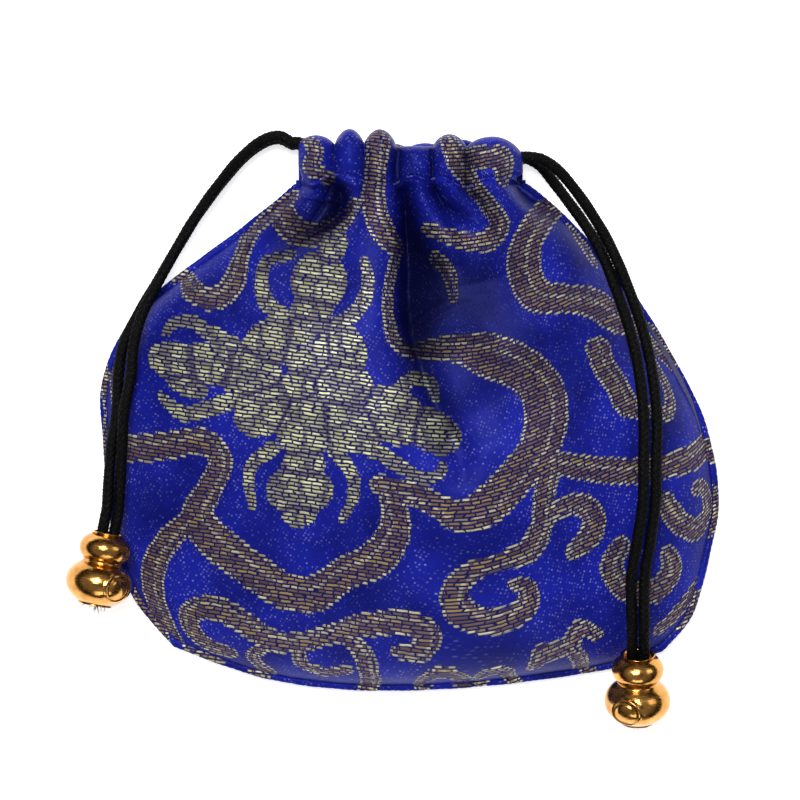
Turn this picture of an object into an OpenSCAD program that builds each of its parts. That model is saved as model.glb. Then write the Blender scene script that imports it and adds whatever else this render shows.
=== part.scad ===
// Drawstring gift pouch, lying on its back with both cords drawn.
// +X is to the right, +Y towards the mouth, +Z up through the pouch.
// The origin is on the table, under the middle of the pouch.

/* [Sack] */
// Width of the sack at its widest
sack_w = 112; // [92:1:136]
// Height of the pouch, from the bottom seam to the top of the casing
pouch_h = 101; // [84:1:124]
// Thickness of the lightly filled sack
sack_t = 22; // [18:0.5:28]
// Height of the perimeter seam above the table
seam_z = 1.9; // [1.6:0.1:2.4]

/* [Cloth] */
// Thickness of the brocade
brocade_t = 0.8; // [0.5:0.05:1]
// Thickness of the lining
lining_t = 0.4; // [0.3:0.05:0.5]
// Room between the brocade and the lining
lining_gap = 0.5; // [0.3:0.05:0.8]
// Width of the seam allowance, turned in along the perimeter
allowance_w = 5; // [3:0.5:6]
// Diameter of the rolled edge along the perimeter seam
roll_d = 1.4; // [1.2:0.1:1.8]
// Depth of the pleats where they meet the casing
pleat_depth = 1.2; // [0.6:0.1:1.6]
// Number of pleats across each panel
pleats = 6; // [4:1:8]

/* [Casing] */
// Width of the gathered mouth
neck_w = 39; // [38:0.5:46]
// Height of the casing, from the hem stitching to its top edge
casing_h = 10; // [9.5:0.5:13]
// Room on each side of a cord in its tunnel
cord_room = 0.25; // [0.15:0.05:0.5]
// Free height of the mouth between the two casings
mouth_gap = 6; // [5:0.1:8]
// Depth of the scallops along the top edge and of the ripples in the face
scallop = 0.5; // [0.2:0.1:0.6]

/* [Cords] */
// Diameter of the drawcords
cord_d = 2; // [1.6:0.1:2.1]
// Gap left in each cord where a moving stretch meets the next one
cord_gap = 0.35; // [0.2:0.05:0.5]

/* [Beads] */
// Height of a gourd bead
bead_h = 13; // [12:0.5:15]
// Diameter of its upper bulb
bead_upper_d = 9.4; // [8.4:0.1:10.4]
// Diameter of its lower bulb
bead_lower_d = 12; // [11:0.1:12.6]
// Room around the two strands in a bead's hole
bore_room = 0.35; // [0.2:0.05:0.5]
// How much wider the knot is than the hole that it stops
knot_over = 0.6; // [0.4:0.1:1]
// Room between the knot and the recess that it sits in
knot_room = 0.35; // [0.2:0.05:0.5]

/* [Hidden] */

royal_blue = "#2320a0";
deep_blue = "#181468";
thread_blue = "#1a178c";
cord_black = "#141416";
bead_gold = "#d9a13a";

// Outline of the sack, drawn for a half width of 56 and for y from -50 to 40, then scaled.
left_edge = [[-42, -42], [-50, -33], [-54, -21], [-55.3, -7], [-55.8, 5], [-50.5, 16.5],
    [-43, 24], [-34, 31], [-25, 37]];
right_edge = [[46, -43], [51, -37], [54, -27], [56, -16], [55, -3], [50.5, 8],
    [43, 19], [35, 28], [26, 36]];
bottom_edge = [[-42, -42], [-28, -47.5], [-14, -49.7], [0, -50], [14, -49.2], [26, -47.8],
    [37, -46], [46, -43]];

// Routes of the four tails, from the pivot beside the casing to the start of the straight
// stretch that runs through the bead.
left_front_route = [[-23.6, 49.2, 12.3], [-26.8, 48.2, 11.2], [-30.6, 45.1, 9.4],
    [-34.8, 40.1, 7.2], [-38.6, 34.8, 5.8], [-42.2, 28.8, 5.8], [-45.3, 23, 6.8],
    [-48, 17.5, 8], [-49.5, 12, 9.2], [-50, 6.5, 9.6], [-51.2, 0, 10], [-51.6, -7, 9.2]];
left_back_route = [[-23.8, 49, 2.3], [-27, 48, 2], [-30.8, 44.9, 1.8], [-35, 39.9, 1.8],
    [-38.8, 34.6, 2.2], [-42.3, 28.7, 3.4], [-45.6, 23, 4.8], [-48.8, 17.5, 6],
    [-51.4, 12, 6.9], [-52.3, 6.5, 7.2], [-52.6, 0, 7.5], [-53.6, -7, 7.9]];
right_front_route = [[23.5, 45, 12.4], [26.2, 43.2, 11.8], [29.2, 39.8, 10.8], [32.4, 35.3, 10],
    [35.6, 29.8, 9.4], [38.7, 22.6, 9.8], [41.6, 14, 11.2], [43.2, 6, 12.8], [43.9, -2, 13.9],
    [43.7, -9, 14.4], [43.6, -16, 14.2], [42.7, -23, 13.6], [41.7, -30, 12.6]];
right_back_route = [[23.4, 44, 2.8], [25.8, 41, 4.2], [28.3, 37.6, 5.6], [31, 33.8, 6.8],
    [33.9, 29, 8.1], [36.4, 22.6, 10.2], [39.2, 14, 12.7], [40.8, 6, 14.4], [41.5, -2, 15.4],
    [41.4, -9, 15.8], [41.3, -16, 15.6], [40.3, -23, 15], [39.3, -30, 13.6]];

// Lower end of each bead, and the direction that its axis climbs towards the mouth
left_bead_foot = [-56.6, -34.5, 7];
left_bead_axis = [0.19, 0.98, 0.06];
right_bead_foot = [40.6, -55.4, 5.2];
right_bead_axis = [0, 0.92, 0.39];
// How far a bead slides up its strands, and how far beyond that the strands stay straight
bead_travel = 3;
straight_spare = 1.5;

casing_y = pouch_h / 2 - casing_h;
casing_t = cord_d + 2 * cord_room + 2 * brocade_t + scallop;
neck_t = 2 * casing_t + mouth_gap;
front_casing_z = casing_t + mouth_gap;
tunnel_y0 = casing_y + 1.4;
tunnel_y1 = pouch_h / 2 - brocade_t - scallop;
tunnel_front_z = (front_casing_z + neck_t - scallop) / 2;
tunnel_back_z = neck_t - tunnel_front_z;

// Both cords run straight along X through the tunnels, the left one nearer the top edge.
left_run_y = tunnel_y1 - 0.2 - cord_d / 2;
right_run_y = left_run_y - cord_d - 0.6;
break_x = 5.5;
run_end_x = neck_w / 2 + 0.4;
tail_x = run_end_x + cord_gap + cord_d / 2;
bend_r = (tunnel_front_z - tunnel_back_z) / 2;
bend_x = neck_w / 2 - bend_r - cord_d / 2 - 0.3;
strand_offset = cord_d / 2 + 0.05;
bead_bore_d = 4 * strand_offset + 2 * bore_room - 0.1;
knot_d = bead_bore_d + knot_over;

panel_cols = 36;
panel_rows = 20;
lining_cols = 28;
lining_rows = 16;
casing_steps = 48;
seam_steps = 48;
allowance_start = 2 * brocade_t;
seam_join = 0.05;
ring_sides = 8;
tail_steps = 17;
gourd_steps = 26;
stitches_round = 60;
hem_stitches = 15;
thread_d = 0.4;
knot_h = 0.9;

function mix(a, b, t) = a + (b - a) * t;
function clamp(x) = min(max(x, 0), 1);
function smooth(x) = let (t = clamp(x)) t * t * (3 - 2 * t);
function unit(v) = v / norm(v);

// A smooth curve through the points p, from t = 0 to t = 1
function spline(p, t) =
    let (n = len(p) - 1, s = clamp(t) * n, i = min(floor(s), n - 1), f = s - i,
         a = p[max(i - 1, 0)], b = p[i], c = p[i + 1], d = p[min(i + 2, n)])
    b + (f * (c - a) + f * f * (2 * a - 5 * b + 4 * c - d)
        + f * f * f * (3 * b - a - 3 * c + d)) / 2;

// The outline at the size of this pouch, with room for the rolled edge outside it
function fit(p) = [p[0] * (sack_w / 2 - roll_d) / 56,
    mix(roll_d - pouch_h / 2, casing_y, (p[1] + 50) / 90)];
left_side = [for (p = left_edge) fit(p), [-neck_w / 2, casing_y]];
right_side = [for (p = right_edge) fit(p), [neck_w / 2, casing_y]];
bottom_side = [for (p = bottom_edge) fit(p)];

// Place on the flat outline: u across from left to right, v up from the bottom to the casing
function flat_place(u, v) =
    let (l = spline(left_side, v), r = spline(right_side, v), b = spline(bottom_side, u),
         bl = bottom_side[0], br = bottom_side[len(bottom_side) - 1],
         tl = left_side[len(left_side) - 1], tr = right_side[len(right_side) - 1])
    mix(l, r, u) + mix(b, mix(tl, tr, u), v) - mix(mix(bl, br, u), mix(tl, tr, u), v);

// The same place, moved inwards from the outline by inset
function inner_place(u, v, inset) =
    let (w = norm(spline(right_side, v) - spline(left_side, v)), a = inset / w,
         b = inset / (pouch_h - casing_h))
    flat_place(mix(a, 1 - a, u), mix(b, 1, v));

// Heights: the seam rises to the middle of the neck, where the pleats are deepest.
function seam_height(v) = mix(seam_z, neck_t / 2, smooth((v - 0.7) / 0.3));
function crown(v) = mix(sack_t, neck_t, smooth((v - 0.5) / 0.5));
function foot(v) = pow(1 - pow(1 - clamp(v / 0.5), 2.2), 0.75);
function side(u, v) =
    pow(max(1 - pow(abs(2 * u - 1), 2.4 + 4 * smooth((v - 0.7) / 0.3)), 0), 0.85);
function pleat(u, v, folded) =
    pleat_depth * smooth((v - 0.45) / 0.55) * (folded ? (1 + cos(360 * pleats * u)) / 2 : 1);
function curl(u, v) =
    1 - (1 - pow(clamp((abs(2 * u - 1) - 0.72) / 0.28), 2)) * (1 - pow(clamp(1 - v / 0.14), 2));
function front_height(u, v, depth, folded) =
    mix(seam_height(v) + seam_join, crown(v) - depth - pleat(u, v, folded), foot(v) * side(u, v));
function back_height(u, v, depth, folded) =
    mix(depth + pleat(u, v, folded) * smooth((v - 0.6) / 0.2), seam_height(v) - seam_join,
        curl(u, v));

// The seam allowance narrows towards the gathers, and the lining keeps inside it.
function taper(v) = 1 - 0.75 * smooth((v - 0.45) / 0.3);
function lining_inset(v) = 1.6 * (allowance_start + allowance_w * taper(v));

// Closed solid between two grids of points, the first of them on the left of its normal
function grid_faces(cols, rows, first, turned) =
    [for (j = [0 : rows - 1], i = [0 : cols - 1])
        let (a = first + j * (cols + 1) + i, b = a + 1, c = b + cols + 1, d = a + cols + 1)
        each turned ? [[a, b, c], [a, c, d]] : [[a, c, b], [a, d, c]]];
function border(cols, rows) =
    [for (i = [0 : cols - 1]) i,
     for (j = [0 : rows - 1]) j * (cols + 1) + cols,
     for (i = [cols : -1 : 1]) rows * (cols + 1) + i,
     for (j = [rows : -1 : 1]) j * (cols + 1)];

module sheet_solid(upper, lower, cols, rows) {
    count = (cols + 1) * (rows + 1);
    rim = border(cols, rows);
    n = len(rim);
    polyhedron(
        points = concat(upper, lower),
        faces = concat(
            grid_faces(cols, rows, 0, false),
            grid_faces(cols, rows, count, true),
            [for (k = [0 : n - 1])
                let (a = rim[k], b = rim[(k + 1) % n])
                each [[a, b, b + count], [a, b + count, a + count]]]));
}

// Columns stand closer together at the sides and rows at the bottom, where the cloth turns.
function column(i, cols) = i / cols - 0.1 * sin(360 * i / cols);
function row(j, rows) = pow(j / rows, 1.4);

function panel_grid(front, depth) =
    [for (j = [0 : panel_rows], i = [0 : panel_cols])
        let (u = column(i, panel_cols), v = row(j, panel_rows), p = inner_place(u, v, depth),
             z = front ? front_height(u, v, depth, true) : back_height(u, v, depth, true))
        [p[0], p[1], z]];
function lining_grid(front, depth) =
    [for (j = [0 : lining_rows], i = [0 : lining_cols])
        let (u = column(i, lining_cols), v = row(j, lining_rows),
             p = inner_place(u, v, lining_inset(v) + depth), d = brocade_t + lining_gap + depth,
             z = front ? front_height(u, v, d, false) : back_height(u, v, d, false))
        [p[0], p[1], z]];

module front_panel() {
    color(royal_blue)
        sheet_solid(panel_grid(true, 0), panel_grid(true, brocade_t), panel_cols, panel_rows);
}

module back_panel() {
    color(royal_blue)
        sheet_solid(panel_grid(false, brocade_t), panel_grid(false, 0), panel_cols, panel_rows);
}

module front_lining() {
    color(deep_blue)
        sheet_solid(lining_grid(true, 0), lining_grid(true, lining_t), lining_cols, lining_rows);
}

module back_lining() {
    color(deep_blue)
        sheet_solid(lining_grid(false, lining_t), lining_grid(false, 0), lining_cols, lining_rows);
}

// Closed solid through a list of rings that all have the same number of points
module sweep(rings) {
    n = len(rings);
    m = len(rings[0]);
    polyhedron(
        points = [for (ring = rings) each ring],
        faces = concat(
            [[for (k = [0 : m - 1]) k]],
            [[for (k = [m - 1 : -1 : 0]) (n - 1) * m + k]],
            [for (i = [0 : n - 2], k = [0 : m - 1])
                let (a = i * m + k, b = i * m + (k + 1) % m)
                each [[a, a + m, b + m], [a, b + m, b]]]));
}

// The same, with a passage right through it
module sleeve(outer, inner) {
    n = len(outer);
    m = len(outer[0]);
    all = n * m;
    polyhedron(
        points = [for (ring = concat(outer, inner)) each ring],
        faces = concat(
            [for (i = [0 : n - 2], k = [0 : m - 1])
                let (a = i * m + k, b = i * m + (k + 1) % m)
                each [[a, a + m, b + m], [a, b + m, b],
                    [all + a, all + b + m, all + a + m], [all + a, all + b, all + b + m]]],
            [for (k = [0 : m - 1])
                let (a = k, b = (k + 1) % m, c = all - m + a, d = all - m + b)
                each [[a, b, all + b], [a, all + b, all + a],
                    [c, all + d, d], [c, all + c, all + d]]]));
}

// Cord of radius r along the points p, with flat ends
function along(p, i) = unit(p[min(i + 1, len(p) - 1)] - p[max(i - 1, 0)]);
function across(t) = unit(cross(t, abs(t[2]) > 0.9 ? [0, 1, 0] : [0, 0, 1]));

module cord(p, r) {
    sweep([for (i = [0 : len(p) - 1])
        let (t = along(p, i), a = across(t), b = cross(t, a))
        [for (k = [0 : ring_sides - 1])
            let (w = 360 * k / ring_sides)
            p[i] + r * (cos(w) * a + sin(w) * b)]]);
}

// One place on the perimeter, from the left of the neck round the bottom to its right,
// moved outwards by out, with t from 0 to 1
function around(t, top) =
    t < 0.36 ? [0, top * (1 - t / 0.36)]
    : t < 0.64 ? [(t - 0.36) / 0.28, 0]
    : [1, top * (t - 0.64) / 0.36];
function edge_place(t, top) = let (q = around(t, top)) flat_place(q[0], q[1]);
function edge_out(t, top) =
    let (a = edge_place(clamp(t - 0.01), top), b = edge_place(clamp(t + 0.01), top), d = unit(b - a))
    [d[1], -d[0]];
function perimeter(t, top, out, lift) =
    let (q = edge_place(t, top) + out * edge_out(t, top))
    [q[0], q[1], seam_height(around(t, top)[1]) + lift];

module perimeter_seam() {
    color(deep_blue)
        cord([for (i = [0 : seam_steps]) perimeter(i / seam_steps, 0.98, roll_d / 2 + seam_join, 0)],
            roll_d / 2);
}

// The joined edges of the panels, turned inwards and lying flat inside the seam
module seam_allowance() {
    near = -allowance_start;
    low = 0.1;
    high = low + brocade_t;
    color(deep_blue)
        sweep([for (i = [0 : seam_steps])
            let (t = mix(0.1, 0.9, i / seam_steps))
            let (far = near - allowance_w * taper(around(t, 1)[1]))
            [perimeter(t, 1, near, low), perimeter(t, 1, far, low),
             perimeter(t, 1, far, high), perimeter(t, 1, near, high)]]);
}

module perimeter_stitching() {
    color(thread_blue)
        for (i = [0 : stitches_round])
            translate(perimeter(mix(0.11, 0.89, i / stitches_round), 1, -allowance_start - 0.8, 0.02))
                cylinder(h = brocade_t + 0.16, d = thread_d, $fn = 16);
}

// Casings: straight tunnels along X, rippled by the gathers
function ripple(u) = scallop * (1 + cos(360 * pleats * u)) / 2;
function casing_ring(x, y0, y1, z0, z1, c) =
    [[x, y0 + c, z0], [x, y1 - c, z0], [x, y1, z0 + c], [x, y1, z1 - c],
     [x, y1 - c, z1], [x, y0 + c, z1], [x, y0, z1 - c], [x, y0, z0 + c]];
function flipped(rings) = [for (ring = rings)
    [for (k = [len(ring) - 1 : -1 : 0]) [ring[k][0], ring[k][1], neck_t - ring[k][2]]]];

casing_outer = [for (i = [0 : casing_steps])
    let (u = i / casing_steps)
    casing_ring(mix(-neck_w / 2, neck_w / 2, u), casing_y, pouch_h / 2 - ripple(u + 0.5 / pleats),
        front_casing_z, neck_t - ripple(u), 1)];
casing_tunnel = [for (i = [0 : casing_steps])
    casing_ring(mix(-neck_w / 2, neck_w / 2, i / casing_steps), tunnel_y0, tunnel_y1,
        front_casing_z + brocade_t, neck_t - scallop - brocade_t, 0.4)];

// The inner wall of a tunnel stops short of its ends, so that a cord can cross to the other casing.
module side_slits(z) {
    for (s = [-1, 1])
        translate([s * (bend_x + neck_w / 2 + 1) / 2, (tunnel_y0 + tunnel_y1) / 2, z])
            cube([neck_w / 2 + 1 - bend_x, tunnel_y1 - tunnel_y0, brocade_t + 0.8],
                center = true);
}

module front_casing() {
    color(royal_blue)
        difference() {
            sleeve(casing_outer, casing_tunnel);
            side_slits(front_casing_z + brocade_t / 2);
        }
}

module back_casing() {
    color(royal_blue)
        difference() {
            sleeve(flipped(casing_outer), flipped(casing_tunnel));
            side_slits(casing_t - brocade_t / 2);
        }
}

module hem_stitching(face) {
    for (i = [0 : hem_stitches - 1])
        let (u = (i + 0.5) / hem_stitches)
        translate([mix(-neck_w / 2, neck_w / 2, u), casing_y + 1.2, abs(face - ripple(u))])
            rotate([0, 90, 0])
                cylinder(h = 0.6 * neck_w / hem_stitches, d = thread_d, center = true, $fn = 16);
}

module front_hem_stitching() {
    color(thread_blue)
        hem_stitching(neck_t);
}

module back_hem_stitching() {
    color(thread_blue)
        hem_stitching(-thread_d / 2);
}

// Left cord: a loop through both casings that turns back at the right end of the mouth.
// The right cord is the same the other way round.
function loop_path(s, y) = concat(
    [[-s * break_x, y, tunnel_front_z], [s * break_x, y, tunnel_front_z]],
    [for (w = [90 : -22.5 : -90])
        [s * (bend_x + bend_r * cos(w)), y, neck_t / 2 + bend_r * sin(w)]],
    [[s * break_x, y, tunnel_back_z], [-s * break_x, y, tunnel_back_z]]);

module left_cord_loop() {
    color(cord_black)
        cord(loop_path(1, left_run_y), cord_d / 2);
}

module right_cord_loop() {
    color(cord_black)
        cord(loop_path(-1, right_run_y), cord_d / 2);
}

// The two straight stretches of a cord that slide out of the tunnels when it is pulled
module draw_strands(s, y) {
    from = break_x + cord_gap;
    for (z = [tunnel_front_z, tunnel_back_z])
        translate([s * from, y, z])
            rotate([0, 90 * s, 0])
                cylinder(h = run_end_x - from, d = cord_d, $fn = 32);
}

module left_draw_strands() {
    color(cord_black)
        draw_strands(-1, left_run_y);
}

module right_draw_strands() {
    color(cord_black)
        draw_strands(1, right_run_y);
}

// A tail: along its route, then straight through the bead into the knot
function tail_path(start, route, foot, axis, aside) =
    let (d = unit(axis), low = foot + aside + knot_h * d,
         high = foot + aside + (bead_h + bead_travel + straight_spare) * d,
         curve = concat([start], route, [high]))
    concat([for (i = [0 : tail_steps]) spline(curve, i / tail_steps)], [low]);

function left_aside(s) = s * strand_offset * unit(cross(left_bead_axis, [0, 0, 1]));
function right_aside(s) = s * strand_offset * unit(cross(right_bead_axis, [0, 0, 1]));

module left_front_tail() {
    color(cord_black)
        cord(tail_path([-tail_x, left_run_y, tunnel_front_z], left_front_route,
            left_bead_foot, left_bead_axis, left_aside(1)), cord_d / 2);
}

module left_back_tail() {
    color(cord_black)
        cord(tail_path([-tail_x, left_run_y, tunnel_back_z], left_back_route,
            left_bead_foot, left_bead_axis, left_aside(-1)), cord_d / 2);
}

module right_front_tail() {
    color(cord_black)
        cord(tail_path([tail_x, right_run_y, tunnel_front_z], right_front_route,
            right_bead_foot, right_bead_axis, right_aside(1)), cord_d / 2);
}

module right_back_tail() {
    color(cord_black)
        cord(tail_path([tail_x, right_run_y, tunnel_back_z], right_back_route,
            right_bead_foot, right_bead_axis, right_aside(-1)), cord_d / 2);
}

// Stands its children on foot with their Z along axis
module stand(foot, axis) {
    d = unit(axis);
    translate(foot)
        rotate([0, acos(d[2]), atan2(d[1], d[0])])
            children();
}

// Half outline of a gourd at height h: two flattened bulbs that run into each other at a waist
function bulb(h, middle, half, r) = r * sqrt(max(1 - pow((h - middle) / half, 2), 0));
function gourd_r(h) =
    let (low = bulb(h, 0.31 * bead_h, 0.34 * bead_h, bead_lower_d / 2),
         high = bulb(h, 0.78 * bead_h, 0.25 * bead_h, bead_upper_d / 2))
    pow(pow(low, 6) + pow(high, 6), 1 / 6);

module gourd_bead() {
    recess_d = knot_d + 2 * knot_room;
    recess_h = knot_h + knot_d / 2 + knot_room;
    difference() {
        rotate_extrude($fn = 64)
            polygon(concat([[0, 0]],
                [for (i = [0 : gourd_steps]) [gourd_r(bead_h * i / gourd_steps), bead_h * i / gourd_steps]],
                [[0, bead_h]]));
        translate([0, 0, -1])
            cylinder(h = bead_h + 2, d = bead_bore_d, $fn = 48);
        translate([0, 0, -1])
            cylinder(h = recess_h + 1, d = recess_d, $fn = 48);
    }
}

module left_gourd_bead() {
    color(bead_gold)
        stand(left_bead_foot, left_bead_axis)
            gourd_bead();
}

module right_gourd_bead() {
    color(bead_gold)
        stand(right_bead_foot, right_bead_axis)
            gourd_bead();
}

// Knot: two turns of cord round the strands
module knot() {
    turn_r = knot_d / 4;
    translate([0, 0, knot_h])
        for (s = [-1, 1])
            translate([0, 0, s * turn_r * 0.8])
                rotate_extrude($fn = 48)
                    intersection() {
                        translate([turn_r, 0])
                            circle(r = turn_r, $fn = 32);
                        translate([0, -turn_r])
                            square([3 * turn_r, 2 * turn_r]);
                    }
}

module left_knot() {
    color(cord_black)
        stand(left_bead_foot, left_bead_axis)
            knot();
}

module right_knot() {
    color(cord_black)
        stand(right_bead_foot, right_bead_axis)
            knot();
}

front_panel();
back_panel();
front_lining();
back_lining();
front_casing();
back_casing();
front_hem_stitching();
back_hem_stitching();
perimeter_seam();
seam_allowance();
perimeter_stitching();
left_cord_loop();
right_cord_loop();
left_draw_strands();
right_draw_strands();
left_front_tail();
left_back_tail();
right_front_tail();
right_back_tail();
left_gourd_bead();
right_gourd_bead();
left_knot();
right_knot();
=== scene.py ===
import bpy
import math
import numpy as np
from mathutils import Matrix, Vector


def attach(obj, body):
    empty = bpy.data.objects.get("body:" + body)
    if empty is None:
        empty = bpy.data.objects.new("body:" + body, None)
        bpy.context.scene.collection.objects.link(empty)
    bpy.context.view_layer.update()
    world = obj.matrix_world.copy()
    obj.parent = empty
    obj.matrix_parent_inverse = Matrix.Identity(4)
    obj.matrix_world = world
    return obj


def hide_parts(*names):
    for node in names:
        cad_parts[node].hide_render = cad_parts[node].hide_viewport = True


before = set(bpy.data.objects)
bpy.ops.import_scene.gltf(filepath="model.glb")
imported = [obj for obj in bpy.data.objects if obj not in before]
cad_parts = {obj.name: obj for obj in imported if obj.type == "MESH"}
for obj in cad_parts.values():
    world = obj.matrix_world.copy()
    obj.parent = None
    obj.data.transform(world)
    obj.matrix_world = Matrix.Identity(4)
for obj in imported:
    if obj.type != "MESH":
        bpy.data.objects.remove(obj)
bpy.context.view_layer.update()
mm = 0.001
print("frame loaded:", len(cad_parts), "nodes")

# camera: straight above the pouch
camera = {"height": 1.3, "centre": (-1.9, 2.1), "width": 144.0}

cameraData = bpy.data.cameras.new("overheadCamera")
cameraData.sensor_width = 36
cameraData.lens = 36 * camera["height"] * 1000 / camera["width"]
cameraData.clip_end = 10
cameraObject = bpy.data.objects.new("overheadCamera", cameraData)
cameraObject.location = (camera["centre"][0] * mm, camera["centre"][1] * mm, camera["height"])
bpy.context.scene.collection.objects.link(cameraObject)
bpy.context.scene.camera = cameraObject
bpy.context.scene.view_settings.view_transform = "Standard"  # colours as they are named


# small helpers
def toLinear(code):  # sRGB hex such as "2a27b8" to the linear colour that the shaders take
    parts = [int(code[i:i + 2], 16) / 255 for i in (0, 2, 4)]
    return tuple(c / 12.92 if c <= 0.04045 else ((c + 0.055) / 1.055) ** 2.4 for c in parts) + (1,)


def smooth(x):
    t = np.clip(x, 0, 1)
    return t * t * (3 - 2 * t)


def mix(a, b, t):
    return a + (b - a) * t


def unit(v):
    v = np.array(v, float)
    return v / np.linalg.norm(v, axis=-1, keepdims=True)


def spline(points, t):  # smooth curve through the points, t from 0 to 1
    p = np.array(points, float)
    n = len(p) - 1
    s = np.clip(np.asarray(t, float), 0, 1) * n
    i = np.minimum(s.astype(int), n - 1)
    f = (s - i)[..., None]
    a, b, c, d = p[np.maximum(i - 1, 0)], p[i], p[i + 1], p[np.minimum(i + 2, n)]
    return b + (f * (c - a) + f * f * (2 * a - 5 * b + 4 * c - d)
                + f * f * f * (3 * b - a - 3 * c + d)) / 2


def evenly(line, step):  # the same line with its points a step apart
    line = np.array(line, float)
    run = np.concatenate([[0], np.cumsum(np.linalg.norm(np.diff(line, axis=0), axis=1))])
    at = np.linspace(0, run[-1], max(2, int(round(run[-1] / step)) + 1))
    return np.stack([np.interp(at, run, line[:, k]) for k in range(3)], 1), run[-1]


def makePiece(name, points, faces, body, material=None, shadeSmooth=True):
    mesh = bpy.data.meshes.new(name)
    mesh.from_pydata((np.asarray(points) * mm).tolist(), [], [tuple(int(i) for i in f) for f in faces])
    mesh.update()
    if shadeSmooth:
        mesh.polygons.foreach_set("use_smooth", [True] * len(mesh.polygons))
    piece = bpy.data.objects.new(name, mesh)
    bpy.context.scene.collection.objects.link(piece)
    if material:
        mesh.materials.append(material)
    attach(piece, body)
    return piece


def gridFaces(rows, cols, flip=False, loop=False):
    j, i = np.meshgrid(np.arange(rows - 1), np.arange(cols if loop else cols - 1), indexing="ij")
    a = j * cols + i
    b = j * cols + (i + 1) % cols
    quads = np.stack([a, b, b + cols, a + cols], -1).reshape(-1, 4)
    return quads[:, ::-1] if flip else quads


def addNode(tree, kind, links=None, **settings):  # a node, what feeds its inputs, and its settings
    item = tree.nodes.new("ShaderNode" + kind)
    for key, value in settings.items():
        if key == "stops":  # the colours along a ramp
            while len(item.color_ramp.elements) < len(value):
                item.color_ramp.elements.new(0.5)
            for element, (place, code) in zip(item.color_ramp.elements, value):
                element.position, element.color = place, toLinear(code)
        else:
            setattr(item, key, value)
    for key, value in (links or {}).items():
        socket = item.inputs[key]
        if isinstance(value, bpy.types.NodeSocket):
            tree.links.new(value, socket)
        elif isinstance(value, bpy.types.Node):
            tree.links.new(value.outputs[0], socket)
        else:
            socket.default_value = value
    return item


def startMaterial(name):
    material = bpy.data.materials.new(name)
    material.use_nodes = True
    tree = material.node_tree
    tree.nodes.clear()
    return material, tree


# materials
# polyester satin brocade, jacquard woven: blue satin ground with metallic weft floats as motifs
brocade = {
    "satin": "171f90", "satinDeep": "0a0f5c", "fleck": "a8acdc",
    "fill": ("54413a", "7f6b5a", "978443"), "edge": ("8f896c", "cfc9a8"),
    "pale": ("98986a", "dcdcae"), "gap": "18164e", "shade": "04040c", "vein": "453850",
    # mm, drawn about twice as coarse as the real floats and ties, so that they show
    "floatLength": 2.1, "floatPitch": 0.68, "floatGap": 0.22, "tieSpacing": 0.62, "tieSize": 0.16,
    "cell": 4.4, "rimWidth": 0.52, "laneWidth": 0.31, "reliefHeight": 0.18,  # mm
    "veinShare": 0.85, "cellShare": 0.65, "tieShare": 0.5, "shadeShare": 0.92,
}


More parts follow.
